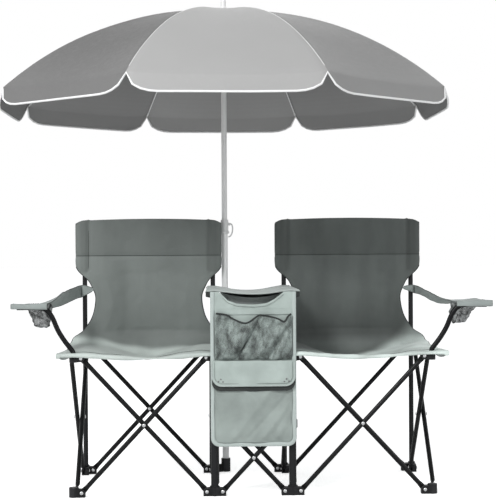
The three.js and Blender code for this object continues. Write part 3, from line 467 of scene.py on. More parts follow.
def crumple(grid, normals, amount, scale, seed, weights=None):
    # soft folds; scale is one number, or one for each direction
    sx, sy, sz = scale if hasattr(scale, "__len__") else (scale, scale, scale)
    out = grid.copy()
    for r in range(grid.shape[0]):
        for c in range(grid.shape[1]):
            x, y, z = grid[r, c]
            wave = noise.noise(Vector((x * sx + seed, y * sy + seed * 0.7, z * sz - seed)))
            share = 1 if weights is None else weights[r, c]
            out[r, c] += normals[r, c] * (wave * amount * share)
    return out


def creased(grid, folds, shift=0, weights=None):
    # folds over one another, each given as depth in metres, scale and seed
    normals = gridNormals(grid)
    for depth, scale, seed in folds:
        grid = crumple(grid, normals, depth, scale, seed + shift, weights)
    return grid


def clothPiece(
    name, grid, thickness, finish, normals=None, uv=None
):
    # two skins and a rim, from points on the middle surface; thickness in millimetres
    rows, columns = grid.shape[:2]
    normals = gridNormals(grid) if normals is None else normals
    uv = gridUv(grid) if uv is None else uv
    thickness /= 1000
    points, vectors, uvs, faces = [], [], [], []
    for sign in (1, -1):
        start = len(points)
        points.extend((grid + sign * thickness / 2 * normals).reshape(-1, 3))
        vectors.extend((sign * normals).reshape(-1, 3))
        uvs.extend(uv.reshape(-1, 2))
        for r in range(rows - 1):
            for c in range(columns - 1):
                a = start + r * columns + c
                faces.append((a, a + 1, a + 1 + columns, a + columns)[::sign])
    for edge, inner, order in (
        (np.s_[0], np.s_[1], 1), (np.s_[-1], np.s_[-2], -1), (np.s_[:, 0], np.s_[:, 1], -1),
        (np.s_[:, -1], np.s_[:, -2], 1)
    ):
        away = grid[edge] - grid[inner]
        away = away / np.maximum(np.linalg.norm(away, axis=1, keepdims=True), 1e-9)
        start = len(points)
        for p, n, w, o in zip(grid[edge], normals[edge], uv[edge], away):
            points += [p + n * thickness / 2, p - n * thickness / 2]
            vectors += [o, o]
            uvs += [w, w + thickness]
        for a in range(start, len(points) - 2, 2):
            faces.append((a, a + 1, a + 3, a + 2)[::order])
    mesh = bpy.data.meshes.new(name)
    mesh.from_pydata([tuple(p) for p in points], [], faces)
    mesh.shade_smooth()
    corner = np.zeros(len(mesh.loops), int)
    mesh.loops.foreach_get("vertex_index", corner)
    layer = mesh.uv_layers.new(name="weave")
    layer.data.foreach_set("uv", np.asarray(uvs, float)[corner].ravel())
    mesh.normals_split_custom_set_from_vertices([tuple(v) for v in vectors])
    piece = placePiece(name, mesh, finish)
    return piece


def threadPiece(name, path, radius, finish, sides=8):
    return meshPiece(name, ringTube(path, radius, sides), finish)


def bodyOf(node):
    return "root" if node == "post_rear_left_centre" else node


# frame: posts and scissors, as in the part
postXs = {
    "left_outer": -outerX, "left_centre": -centreSpan / 2, "right_centre": centreSpan / 2,
    "right_outer": outerX
}
corners = {
    f"{row}_{side}": (x, y)
    for row, y in (("front", -rowY), ("rear", rowY))
    for side, x in postXs.items()
}
# name, first and second post, and whether it is a half-height one
scissors = [
    ("side_left_centre", "rear_left_centre", "front_left_centre", False),
    ("rear_left", "rear_left_centre", "rear_left_outer", False),
    ("front_left", "front_left_centre", "front_left_outer", False),
    ("side_left_outer", "rear_left_outer", "front_left_outer", False),
    ("front_centre", "front_left_centre", "front_right_centre", True),
    ("side_right_centre", "front_right_centre", "rear_right_centre", False),
    ("rear_centre", "rear_left_centre", "rear_right_centre", True),
    ("front_right", "front_right_centre", "front_right_outer", False),
    ("rear_right", "rear_right_centre", "rear_right_outer", False),
    ("side_right_outer", "rear_right_outer", "front_right_outer", False)
]
tubeShape = {
    "round": 7.4, "roundOffset": 8, "flatOffset": 5, "flatHalf": 2.4, "flatWide": 9, "end": 8.8,
    "endAngles": (80, 55, 30, 8), "flatTo": 12, "roundFrom": 28, "steps": 5, "sides": 20
}
rivetShape = {
    "radius": 5.6,
    "height": 2.4,
    "dome": ((1, 0), (1, 0.35), (0.86, 0.7), (0.55, 0.94), (0.2, 1)),
    "sides": 18,
    "cross": (-17.4, 16.8),  # head places beside a crossing and beside a tube's end
    "end": (-13.6, 13.6),
}


def crossTube(start, end, across, side):
    # tube with pressed flat ends, between two pivots
    shape = tubeShape
    length = (end - start).length * 1000
    along = (end - start).normalized()
    flatAway = across.cross(along)
    stations = []
    for angle in map(math.radians, shape["endAngles"]):
        stations.append((-shape["end"] * math.sin(angle), max(0.25, math.cos(angle)), 0))
    for k in range(shape["steps"] + 1):
        f = k / shape["steps"]
        reach = shape["flatTo"] + (shape["roundFrom"] - shape["flatTo"]) * f
        stations.append((reach, 1, eased(f)))
    stations += [(length - reach, wide, f) for reach, wide, f in reversed(stations)]
    points = []
    for reach, wide, f in stations:
        halfWide = shape["flatWide"] * wide * (1 - f) + shape["round"] * f
        halfThin = shape["flatHalf"] * (1 - f) + shape["round"] * f
        offset = shape["flatOffset"] * (1 - f) + shape["roundOffset"] * f
        middle = start + along * (reach / 1000) + across * (side * offset / 1000)
        for c, s in circle(shape["sides"], 0.5):
            place = middle + flatAway * (c * halfWide / 1000)
            points.append(place + across * (s * halfThin / 1000))
    return points, ringFaces(len(stations), shape["sides"])


def rivetHead(place, outward):
    shape = rivetShape
    side = outward.orthogonal().normalized()
    over = outward.cross(side)
    points = []
    for wide, rise in shape["dome"]:
        middle = place + outward * (rise * shape["height"] / 1000)
        reach = wide * shape["radius"] / 1000
        for c, s in circle(shape["sides"]):
            points.append(middle + side * (c * reach) + over * (s * reach))
    return points, ringFaces(len(shape["dome"]), shape["sides"], 1)


rivets = {}


def addRivet(node, place, across, kind):
    low, high = rivetShape[kind]
    heads = [rivetHead(place + across * (high / 1000), across)]
    heads.append(rivetHead(place + across * (low / 1000), -across))
    rivets.setdefault(node, []).extend(heads)


def nodeAt(kind, corner):
    names = {
        "foot": (f"post_{corner}", f"foot_{corner}"),
        "seat": (f"seat_slider_{corner}", f"arm_post_{corner}"), "low": (f"low_slider_{corner}",)
    }[kind]
    return next(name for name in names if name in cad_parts)


for name, first, second, short in scissors:
    (ax, ay), (bx, by) = corners[first], corners[second]
    along = Vector((bx - ax, by - ay, 0)).normalized()
    across = along.cross(upward)
    length = size["cross"] * (0.5 if short else 1)
    upper = "low" if short else "seat"
    lowA = at(ax, ay, size["footPivot"]) + along * (size["inset"] / 1000)
    lowB = lowA + along * (length * math.cos(openAngle) / 1000)
    highA = lowA + upward * (length * math.sin(openAngle) / 1000)
    highB = lowB + upward * (length * math.sin(openAngle) / 1000)
    if name == "rear_centre":
        tubes = [(f"brace_{name}", lowB, highA, 1)]
        ends = [("foot", second, lowB), ("low", first, highA)]
    else:
        tubes = [(f"cross_{name}_a", lowA, highB, 1), (f"cross_{name}_b", lowB, highA, -1)]
        ends = [("foot", first, lowA), ("foot", second, lowB)]
        ends += [(upper, first, highA), (upper, second, highB)]
        addRivet(f"cross_{name}_a", (lowA + highB) / 2, across, "cross")
    for node, start, end, side in tubes:
        form = crossTube(start, end, across, side)
        piece = meshPiece(f"{node}_tube", form, "frame", 50)
        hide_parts(node)
        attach(piece, bodyOf(node))
    for kind, corner, place in ends:
        addRivet(nodeAt(kind, corner), place, across, "end")
for node, parts in rivets.items():
    piece = meshPiece(f"{node}_rivets", gather(parts), "rivet")
    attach(piece, bodyOf(node))

# round skins on the posts: how much less radius, and height; the top's from the post's end
postSkin = {"grow": 0.12, "foot": ((1.5, 5), (0, 6)), "top": ((0, -2), (0.6, -0.6), (2, 0.1))}
for name, (x, y) in corners.items():
    node = nodeAt("foot", name)
    if node.startswith("foot"):
        continue
    row = "rear" if name.startswith("rear") else "front"
    radius = size[f"{row}Post"] + postSkin["grow"]
    profile = [(radius - less, z) for less, z in postSkin["foot"]]
    profile += [(radius - less, size[f"{row}Top"] + z) for less, z in postSkin["top"]]
    piece = meshPiece(f"{node}_skin", lathe(x, y, profile), "frame", 50)
    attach(piece, bodyOf(node))

# the bent posts of the armrests; shares of the reach and of the rise
armPost = {
    "radius": 7.9, "reach": 175, "rise": 160,
    "outwards": (0, 0, 0.05, 0.16, 0.27, 0.36, 0.43, 0.51, 0.6, 1),
    "upwards": (0.02, 0.12, 0.2, 0.36, 0.56, 0.79, 0.91, 0.98, 1, 1)
}
for out, corner in ((-1, "front_left_outer"), (1, "front_right_outer")):
    x, y = corners[corner]
    path = [
        at(x + out * s * armPost["reach"], y, seatPivot + r * armPost["rise"])
        for s, r in zip(armPost["outwards"], armPost["upwards"])
    ]
    form = ringTube(smoothPath(path, 48), armPost["radius"] / 1000, 20)
    piece = meshPiece(f"arm_post_{corner}_skin", form, "frame", 50)
    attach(piece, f"arm_post_{corner}")


def nodeFinish(name):
    if "slider" in name or name.startswith(("foot", "post", "arm_post")):
        return "moulding"
    if name in ("runner", "pole_collar", "lock_pin"):
        return "fitting"
    return "pole" if name.startswith(("rib", "pole")) else "frame"


for name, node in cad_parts.items():
    for slot in node.material_slots:
        slot.material = surfaces[nodeFinish(name)]
print("frame dressed,", len(rivets), "sets of rivets")

# slings: seat and back in one cloth
slingShape = {
    "thick": 2.2,
    "over": 2.4,  # from the sliders' tops to the cloth's middle
    "outer": 52,  # cloth past the outer front post
    "inner": 20,
    "frontY": -241,
    "seatSag": 38,
    "hemSag": 11,
    "hemDrop": 12,
    "backSetback": 12,
    "bend": 44,
    "backSag": 26,
    "topSag": 5,
    "topSide": 877,
    "topRise": 5,
    "topFall": 13,
    "topOver": 22,
    "round": 0.86,  # share of the half width where the top starts to fall
    "folded": 0.37,  # share of the width that stays when the frame folds
    "header": 750,
    "waist": 39,
    "pocketLow": 690,
    "pocketOut": 31,
    "flat": 34,
    "seamInset": 0.013,
    "hemRow": 12,
    "edgeRow": 5,
    "seamPull": 0.0013,  # how deep the header's seam draws the cloth in, in metres
    "pocketPull": (0.0022, 0.006),  # the same for a pole pocket, and how wide
    "seam": (0.0008, 0.0015),  # radius and lift
    "edge": 0.0021,
    "creases": ((0.0085, (8.5, 5, 2.4), 3), (0.0036, (17, 13, 6), 12), (0.0012, 34, 7)),
    "rows": 170,
    "columns": 130,
}
# height share of the way up to the pockets, and how far the waist goes in there
waistLine = (
    (0.17, -0.2), (0.24, 0.14), (0.33, 0.52), (0.43, 0.78), (0.58, 0.97), (0.7, 0.98), (0.81, 0.72),
    (0.92, 0.34)
)
# sideways place and depth behind the front face, for a pole pocket and for a plain hem
pocketSection = (
    (-19, 4), (-10, 20), (4, 22.5), (20, 20.5), (29, 15), (31, 9), (25, 2.5), (9, -0.5), (-6, -0.5),
    (-14, 3), (-21, 0.5)
)
hemSection = (
    (-13, 3.4), (-10, 3.6), (-7, 3.6), (-3, 3.4), (-0.6, 2.6), (0, 1.4), (-0.8, 0.2), (-5, 0),
    (-10, 0), (-14, 0.3), (-18, 0)
)
# painted light and shade on the sling cloth, kept in a colour attribute
slingLightPaint = {
    "paintedLightEdge": {"left": (150, 85, 45), "right": (-150, 420, 120)},  # start, slope and blur
    "paintedSeatLight": {"left": 2.9, "right": 5.0},
    "lowShade": {"left": 0.06, "right": 0.5},
    # painted shade at the header
    "header": 0.8,
    "pocket": 0.2,
    "pocketWide": 24,
    "climb": 1.2,
    "backFrom": 640,
    "seatTo": 448,
}


def slingRow(out, y, z, normal, outer, inner, pocket, sagY, sagZ, closed=1.0):
    # outer and inner are distances past the post lines, normal is the face's outward way
    span, flat = size["span"], slingShape["flat"]

    def wrap(edge):
        return [
            (ps * pocket + (hs + edge) * (1 - pocket), (pd * pocket + hd * (1 - pocket)) * closed)
            for (ps, pd), (hs, hd) in zip(pocketSection, hemSection)
        ]

    innerWrap, outerWrap = wrap(inner), wrap(outer)
    start, end = -innerWrap[-1][0], span + outerWrap[-1][0]
    places = [(-s, d) for s, d in innerWrap]
    places += [(start + (end - start) * f, 0) for f in (0.08, 0.2, 0.35, 0.5, 0.65, 0.8, 0.92)]
    places += [(span + s, d) for s, d in reversed(outerWrap)]
    row = []
    for place, depth in places:
        share = min(max((place - flat) / (span - 2 * flat), 0), 1)
        dip = 4 * share * (1 - share)
        dip *= 0.6 + 0.4 * dip
        x = out * (centreSpan / 2 + place)
        row.append((x, y + sagY * dip - normal[0] * depth, z - sagZ * dip - normal[1] * depth))
    return row


def slingGrid(out):
    s = slingShape
    outer, inner, frontY = s["outer"], s["inner"], s["frontY"]
    seatZ = seatPivot + size["slider"] + s["over"]
    backY = rowY - s["backSetback"]
    bendY = backY - s["bend"]
    up, face = (0, 1), (-1, 0)
    rows = []
    drop = s["hemDrop"]
    for before, down in ((3.2, drop - 2.5), (0.8, drop), (-0.4, drop * 0.6), (0, 2)):
        y, z = frontY + before, seatZ - down
        rows.append(slingRow(out, y, z, up, outer, inner, 0, 0, s["hemSag"]))
    for share in (0.03, 0.12, 0.3, 0.5, 0.7, 0.86, 1):
        y = frontY + (bendY - frontY) * share
        rise = math.sin(math.pi * min(share, 0.75) / 1.5)
        sag = s["hemSag"] + (s["seatSag"] - s["hemSag"]) * rise
        flare = 1 - 0.35 * math.sin(math.pi * share)
        rows.append(slingRow(out, y, seatZ, up, outer * flare, inner, 0, 0, sag))
    for share, edge in ((0.33, outer * 0.86), (0.66, 37)):
        c, n = math.cos(share * math.pi / 2), math.sin(share * math.pi / 2)
        y, z = bendY + s["bend"] * n, seatZ + s["bend"] * (1 - c)
        sags = s["backSag"] * share, s["seatSag"] * (1 - share)
        rows.append(slingRow(out, y, z, (-n, c), edge, inner, 0, *sags))
    for height, inset in waistLine:
        z = seatZ + (s["pocketLow"] - seatZ) * height
        edge = -s["waist"] * inset
        rows.append(slingRow(out, backY, z, face, edge, min(edge, inner), 0, s["backSag"], 0))
    for share, pocket in ((0.02, 0.25), (0.1, 0.8), (0.2, 1), (0.45, 1), (0.7, 1), (0.88, 1)):
        z = s["pocketLow"] + (s["topSide"] - s["pocketLow"]) * share
        edge = 6 + 16 * share
        sag = s["backSag"] + (s["topSag"] - s["backSag"]) * share
        rows.append(slingRow(out, backY, z, face, edge, edge, pocket, sag, 0))
    # the top edge is fuller at the middle and rounded down outside each pole
    middle = out * (centreSpan + size["span"]) / 2
    reach = size["span"] / 2 + s["pocketOut"]
    over, turn = s["topOver"], s["round"]
    for drop, closed in ((7, 0.97), (2, 0.8), (0.5, 0.45), (0, 0.1)):
        top = s["topSide"] - drop
        row = slingRow(out, backY, top, face, over, over, 1, s["topSag"], 0, closed)
        shaped = []
        for x, y, z in row:
            u = min(1, abs(x - middle) / reach)
            rise = s["topRise"] * (1 - (u / turn) ** 2) if u < turn else 0
            fall = s["topFall"] * ((u - turn) / (1 - turn)) ** 2 if u > turn else 0
            shaped.append((x, y, z + rise - fall))
        rows.append(shaped)
    return smoothGrid(rows, s["rows"], s["columns"])


def slingCreases(grid, out):
    # tall slack folds on the back, pulls across the seat, and short ripples
    columns = np.arange(grid.shape[1]) / (grid.shape[1] - 1)
    weights = np.clip((np.minimum(columns, 1 - columns) - 0.08) * 9, 0.12, 1)
    weights = np.repeat(weights[None, :], grid.shape[0], axis=0)
    return creased(grid, slingShape["creases"], out, weights)


def paintSlingLight(piece, side):
    # painted light where the seat faces up, painted shade at the header and low on the back, and
    # darker at the pole pockets
    t = slingLightPaint
    mesh = piece.data
    points = np.zeros(len(mesh.vertices) * 3)
    mesh.vertices.foreach_get("co", points)
    x, y, z = (points.reshape(-1, 3) * 1000 - at(0, 0, 0) * 1000).T
    # painted light on the seat, up to an edge that climbs the back
    start, slope, blur = t["paintedLightEdge"][side]
    u = np.clip((np.abs(x) - centreSpan / 2) / size["span"], 0, 1)
    climb = y + t["climb"] * (z - seatPivot - size["slider"])
    wave = 7 * np.sin(x / 58) + 4 * np.sin(x / 21 + 1)
    light = np.clip((start + slope * u**1.4 + wave - climb) / blur + 0.5, 0, 1)
    tone = 1 + (t["paintedSeatLight"][side] - 1) * light * light * (3 - 2 * light)
    # painted shade low on the back, above the seat
    low = np.clip((t["backFrom"] - z) / 150, 0, 1) * np.clip((z - t["seatTo"]) / 30, 0, 1)
    tone *= 1 - t["lowShade"][side] * low * np.clip(y / 60 - 1, 0, 1)
    # painted shade at the header
    tone *= np.where(z > slingShape["header"], t["header"], 1)
    beside = np.minimum(np.abs(np.abs(x) - centreSpan / 2), np.abs(np.abs(x) - outerX))
    pocket = np.clip((t["pocketWide"] - beside) / 10, 0, 1)
    tone *= 1 - t["pocket"] * pocket * np.clip((z - slingShape["pocketLow"]) / 12, 0, 1)
    shades = mesh.color_attributes.new("slingPaintedLight", "FLOAT_COLOR", "POINT")
    values = np.ones((len(tone), 4))
    values[:, :3] = tone[:, None]
    shades.data.foreach_set("color", values.ravel())


def nearestColumn(row, x):
    # column of a row that lies at x, on the sitter's side
    near = np.where(np.abs(row[:, 0] - x) < 0.006)[0]
    if len(near) == 0:
        return int(np.argmin(np.abs(row[:, 0] - x)))
    return int(near[np.argmin(row[near, 1])])


def placeOf(x):
    return "outer" if abs(x * 1000 - shiftX) > (outerX + centreSpan / 2) / 2 else "centre"


def carrySling(piece, side, place, band):
    body = bodyOf(nodeAt("foot", f"rear_{side}_{place}"))
    if band != "back":
        # the tube of the side scissor whose upper end carries this quarter of the seat
        mirrored = side == "right" and place == "centre"
        body = f"cross_side_{side}_{place}_" + ("a" if (band == "front") != mirrored else "b")
    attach(piece, body)
    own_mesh(piece)


def pullSeams(grid, normals, seams, headerRow, pocketRow):
    # the header and the pole pockets are sewn, which draws the cloth in along them
    depth, wide = slingShape["pocketPull"]
    for r in range(grid.shape[0]):
        inRow = slingShape["seamPull"] * math.exp(-(((r - headerRow) / 1.3) ** 2))
        for c in range(grid.shape[1]):
            pull = inRow
            if r > pocketRow and normals[r, c][1] < -0.3:
                gap = min(abs(grid[r, c, 0] - x) for x in seams)
                pull += depth * math.exp(-((gap / wide) ** 2))
            grid[r, c] -= normals[r, c] * pull


def cornerTab(side, out):
    # rolled tab at the front corner
    x, y, z = out * (outerX + 30), slingShape["frontY"] + 13, seatPivot + 6.5
    turns = ((-18, 0, -2), (0, -3, -6), (14, -4, -4), (20, -2, 1))
    tab = smoothPath([at(x + out * dx, y + dy, z + dz) for dx, dy, dz in turns], 18)
    radii = [0.0015 + 0.004 * math.sin(math.pi * min(1, (n + 1) / 15)) for n in range(len(tab))]
    roll = meshPiece(f"corner_tab_{side}", ringTube(tab, radii, 14), "lining")
    carrySling(roll, side, "outer", "front")


def makeSling(side, out):
    seatRow, column = 20, 60  # a place on the seat, clear of posts and seams
    grid = slingGrid(out)
    normals = gridNormals(grid)
    if normals[seatRow, column][2] < 0:
        grid = grid[:, ::-1]
        normals = gridNormals(grid)
    rows, columns = grid.shape[:2]
    middle = columns // 2

    def firstRow(axis, limit):
        return int(np.argmax(grid[:, column, axis] > limit))

    posts = [float(at(out * x, 0, 0)[0]) for x in (centreSpan / 2, outerX)]
    inset = out * slingShape["seamInset"]
    seams = [posts[0] + inset, posts[1] - inset]
    headerRow = firstRow(2, slingShape["header"] / 1000)
    pocketRow = firstRow(2, (slingShape["pocketLow"] + 6) / 1000)
    grid = slingCreases(grid, out)
    pullSeams(grid, normals, seams, headerRow, pocketRow)
    normals = gridNormals(grid)
    uv = gridUv(grid)
    seatRows = firstRow(2, (seatPivot + 60) / 1000)
    halfRow = firstRow(1, at(0, 0, 0)[1])
    rising = grid[seatRow, -1, 0] > grid[seatRow, 0, 0]
    for band, low, high in (
        ("front", 0, halfRow), ("rear", halfRow, seatRows), ("back", seatRows, rows - 1)
    ):
        for k, half in enumerate((np.s_[: middle + 1], np.s_[middle:])):
            part = np.s_[low : high + 1, half]
            place = placeOf(float(grid[part][:, :, 0].mean()))
            label = "back" if band == "back" else f"seat_{band}"
            piece = clothPiece(
                f"{label}_{side}_{place}", grid[part], slingShape["thick"],
                "seat" if side == "left" else "rightSeat",
                normals[part], uv[part]
            )
            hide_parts(f"sling_{side}")
            paintSlingLight(piece, side)
            carrySling(piece, side, place, band)
            # binding along the free edge, up to the pole pocket
            pick = np.argmax if (k == 1) == rising else np.argmin
            path = []
            for r in range(max(low, slingShape["edgeRow"]), min(high, pocketRow + 4) + 1):
                row = grid[r, half]
                path.append(Vector(row[int(pick(row[:, 0]))]))
            if len(path) > 6:
                inside = [(a + b * 2 + c) / 4 for a, b, c in zip(path, path[1:], path[2:])]
                path = [path[0], *inside, path[-1]]
                name = f"{label}_edge_{side}_{place}"
                edge = threadPiece(name, path, slingShape["edge"], "hem")
                carrySling(edge, side, place, band)

    def seamOver(name, picks, place, band):
        radius, lift = slingShape["seam"]
        path = [Vector(grid[r, c] + normals[r, c] * lift) for r, c in picks]
        if len(path) > 3:
            seam = threadPiece(name, path, radius, "hem", 6)
            carrySling(seam, side, place, band)

    for k, x in enumerate(seams):
        inLine = nearestColumn(grid[(pocketRow + rows) // 2], x)
        picks = [(r, inLine) for r in range(pocketRow + 3, rows - 7)]
        seamOver(f"pocket_seam_{side}_{k + 1}", picks, placeOf(x), "back")
    cornerTab(side, out)
    lines = (("header", headerRow, seams, "back"), ("hem", slingShape["hemRow"], posts, "front"))
    for k, (low, high) in enumerate(((0, middle), (middle, columns - 1))):
        for kind, row, xs, band in lines:
            ends = sorted(nearestColumn(grid[row], x) for x in xs)
            picks = [(row, c) for c in range(max(ends[0], low), min(ends[1], high) + 1)]
            place = placeOf(float(grid[picks[len(picks) // 2]][0]))
            seamOver(f"{kind}_seam_{side}_{k + 1}", picks, place, band)


for side, out in (("left", -1), ("right", 1)):
    makeSling(side, out)
print("slings made")

# armrests; shares run from the front tip to the rear post
armShape = {
    "reach": 192,
    "rise": 160,
    "over": 10.95,  # from the bent post's axis to the cloth's middle
    "before": 10.15,
    "beside": 10.4,
    "half": 56,
    "rearHalf": {"left": 20, "right": 13},
    "twist": {"left": (0.0, 0.96), "right": (0.22, 0.78)},
    "sag": {"left": 10, "right": 17},
    "sagFrom": 0.22,
    "rearRise": 196,
    "riseFrom": 0.04,
    "slack": 5,
    "thick": 2.6,
    "edge": 0.0017,
    "creases": ((0.0045, (14, 9, 20), 7), (0.0016, 40, 2)),
    "folded": 0.34,
}
armAcross = (-1, -0.94, -0.7, -0.35, 0, 0.35, 0.7, 0.94, 1)
# share, drop of the front lip and set-back there
armStations = [(0, 15, 3), (0, 16, 0.6), (0, 8, 0), (0, 0, 0.5)]
armStations += [(f, 0, 0) for f in (0.02, 0.06, 0.14, 0.24, 0.34, 0.44, 0.54, 0.64, 0.74)]
armStations += [(f, 0, 0) for f in (0.84, 0.93, 1)]
# the end passes the post and is sewn to the edge of the back: place and share of the width
armEnd = (
    (574, 209, 634, 0.95), (563, 205.5, 636, 0.8), (549, 206, 637.5, 0.5), (536, 209, 638, 0.2)
)
holderShape = {
    "top": 42,
    "low": 22,
    "depth": 70,
    "setback": 58,
    "inwards": 3,
    "lean": 17,
    "wall": 1.0,
    "levels": (0, 0.06, 0.2, 0.4, 0.6, 0.8, 0.93),
    "floor": ((0.99, 0.9), (1.0, 0.55), (1.0, 0.04)),  # level and share of the radius
    "sides": 24,
}


def armCentre(share):
    a = armShape
    topZ = seatPivot + a["rise"] + a["over"]
    frontX, frontY = outerX + a["reach"] - a["half"], -rowY - a["before"]
    turn = eased((share - a["riseFrom"]) / (1 - a["riseFrom"]))
    x = frontX + (outerX + a["beside"] - frontX) * share
    return x, frontY + (rowY - frontY) * share, topZ + (seatPivot + a["rearRise"] - topZ) * turn


def makeHolder(side, out, body):
    # crumpled net, narrower below and leaning to the post
    h = holderShape
    x, y, z = armCentre((h["setback"] + 7.75) / (2 * rowY + 10))
    rows = []
    for share, closed in [(level, 1) for level in h["levels"]] + list(h["floor"]):
        radius = (h["top"] + (h["low"] - h["top"]) * eased(share) ** 0.9) * closed
        middle = out * (x - h["inwards"] - h["lean"] * share)
        row = []
        for n in range(h["sides"] + 1):
            t = 2 * math.pi * n / h["sides"]
            wave = 1 + 0.10 * share * math.sin(3 * t + 1.3) + 0.07 * share * math.sin(5 * t)
            reach = radius * wave
            row.append(
                (middle + reach * math.cos(t), y + reach * math.sin(t), z - 2 - h["depth"] * share)
            )
        rows.append(row)
    grid = smoothGrid(rows, 44, 72)
    depth = np.linspace(0, 1, len(grid))[:, None, None]
    loose = creased(grid, ((0.013, 34, 2 + out), (0.005, 90, 5)))
    grid = grid + (loose - grid) * np.minimum(1, depth * 2.5)
    grid[:, -1] = grid[:, 0]
    name = f"drink_holder_{side}"
    holder = clothPiece(name, grid, h["wall"], "holderNet")
    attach(holder, body)


def makeArmrest(side, out):
    a = armShape
    body = f"arm_post_front_{side}_outer"
    rearHalf, (twistFrom, twistOver) = a["rearHalf"][side], a["twist"][side]
    rows = []
    for share, lip, pull in armStations:
        x, y, z = armCentre(share)
        half = a["half"] + (rearHalf - a["half"]) * eased(share * 1.12)
        angle = eased((share - twistFrom) / twistOver) * math.pi / 2
        c, s = math.cos(angle), math.sin(angle)
        # the free length behind the drink holder hangs a little
        hang = eased((share - a["sagFrom"]) / (1 - a["sagFrom"]))
        z -= a["sag"][side] * math.sin(math.pi * hang) + lip
        slack = a["slack"] * math.sin(math.pi * min(1, share * 1.2)) * c
        rows.append(
            [
                (out * (x + f * half * c), y + pull, z - f * half * s - slack * (1 - f * f))
                for f in armAcross
            ]
        )
    for x, y, z, narrow in armEnd:
        rows.append([(out * x, y, z - f * rearHalf * narrow) for f in armAcross])
    grid = smoothGrid(rows, 110, 34)
    if out < 0:
        grid = grid[:, ::-1]
    grid = creased(grid, a["creases"], out)
    name = f"armrest_cloth_{side}"
    strip = clothPiece(name, grid, a["thick"], "arm")
    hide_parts(f"armrest_{side}")
    carried = [strip]
    for k, column in enumerate((0, -1)):
        path = [Vector(q) for q in grid[::2, column]]
        name = f"armrest_edge_{side}_{k + 1}"
        carried.append(threadPiece(name, path, a["edge"], "armEdge"))
    for piece in carried:
        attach(piece, body)
        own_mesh(piece)
    makeHolder(side, out, body)


for side, out in (("left", -1), ("right", 1)):
    makeArmrest(side, out)
print("armrests made")

# the cloth of the centre section gathers towards its left posts
leftPost, rightPost = "post_front_left_centre", "post_front_right_centre"


def onCentre(piece, body=leftPost):
    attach(piece, body)
    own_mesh(piece)
    return piece


# table top
tableShape = {
    "out": 24, "front": 14, "rear": 3, "sag": 15, "roll": 3, "over": 2.4, "thick": 3, "flat": 19.5,
    "splitRow": 36, "creases": ((0.0012, 12, 9),),
    "along": (0, 0.004, 0.03, 0.08, 0.25, 0.42, 0.58, 0.75, 0.92, 1),
    "across": (-1.0, -0.985, -0.9, -0.8, -0.6, -0.3, 0, 0.3, 0.6, 0.8, 0.9, 0.985, 1.0)
}


def makeTable():
    t = tableShape
    rows = []
    for share in t["along"]:
        y = -rowY - t["front"] + (2 * rowY + t["front"] + t["rear"]) * share
        edge = centreSpan / 2 + t["out"] * (1 - 0.15 * share)
        row = []
        for place in t["across"]:
            x = place * edge
            dip = max(0, 1 - (x / (centreSpan / 2 - t["flat"])) ** 2)
            rolled = t["roll"] if share == 0 or abs(place) == 1 else 0
            sag = t["sag"] * (0.62 + 0.38 * share)
            row.append((x, y, size["frontTop"] + t["over"] - sag * dip - rolled))
        rows.append(row)
    grid = smoothGrid(rows, 72, 60)
    grid = creased(grid, t["creases"])
    normals, uv = gridNormals(grid), gridUv(grid)
    split = t["splitRow"]
    for label, part, body in (
        ("front", np.s_[: split + 1], leftPost), ("rear", np.s_[split:], "root")
    ):
        piece = clothPiece(
            f"table_cloth_{label}", grid[part], t["thick"], "table",
            normals[part], uv[part]
        )
        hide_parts("table_top")
        onCentre(piece, body)


makeTable()

# pockets under the table's corners, which slip over the posts; their near-black colour and wider
# outer side are partly painted shade under the table's overhang
sleeve = {
    "front": 14, "rear": 11, "tall": 22, "side": 11, "wall": 1.2, "gap": 0.6, "droop": 5,
    "sides": 28
}


def makeSleeve(row, side):
    s = sleeve
    x, y = corners[f"{row}_{side}_centre"]
    away = math.copysign(1, x)
    high = size["frontTop"] - s["gap"]
    low, wall = high - s["tall"], s["wall"]
    lowRings = ((-wall, low), (0, low - 0.6), (0.8, low + 4))
    highRings = ((0.4, high - 8), (1.4, high - 1), (-wall, high))
    points = []
    for grow, z in lowRings + highRings:
        reach = s[row] + grow
        for c, n in circle(s["sides"]):
            wide = reach + s["side"] if c * away > 0 else reach
            droop = s["droop"] * max(0, c * away) if z < high - 9 else 0
            points.append(at(x + wide * c, y + reach * n, z + droop))
    form = points, ringFaces(6, s["sides"], 0)
    piece = meshPiece(f"table_pocket_{row}_{side}", form, "dark")
    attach(piece, bodyOf(nodeAt("foot", f"{row}_{side}_centre")))


for row in ("front", "rear"):
    for side in ("left", "right"):
        makeSleeve(row, side)
print("table made")

# storage bag: a soft open shell, in two halves that gather as the frame folds
bagShape = {
    "half": 98,
    "front": -203.5,
    "rear": 195.5,
    "top": 611,
    "low": 352,
    "thick": 1.8,
    "round": 26,
    "rise": 27,
    "inset": 1.5,
    "creases": ((0.004, 9, 12),),
    # share of the way down and how far the wall swells there
    "wall": ((0.03, 0), (0.12, -2), (0.3, -3), (0.5, -1), (0.7, 0.4), (0.85, 0), (0.95, -3)),
    "floor": ((0, -12), (2, -40), (2, -94)),  # depth below the low edge, and swell
}


def bagRing(z, swell, sagTop=0):
    b = bagShape
    half = b["half"] - b["inset"] + swell
    front = b["front"] + b["inset"] - swell * 0.3
    rear = b["rear"] - b["inset"] + swell * 0.3
    r = b["round"]
    across, along = 2 * (half - r), rear - front - 2 * r
    path = []
    for x, y, start, dx, dy in (
        (half - r, rear - r, 0, -across, 0), (r - half, rear - r, 90, 0, -along),
        (r - half, front + r, 180, across, 0), (half - r, front + r, 270, 0, along)
    ):
        for angle in [math.radians(start + 15 * k) for k in range(7)]:
            path.append((x + r * math.cos(angle), y + r * math.sin(angle)))
        x, y = path[-1]
        path += [(x + dx * f, y + dy * f) for f in (0.2, 0.4, 0.6, 0.8)]
    return [(x, y, z - sagTop * (1 - min(1, abs(x) / half) ** 2)) for x, y in path + path[:1]]


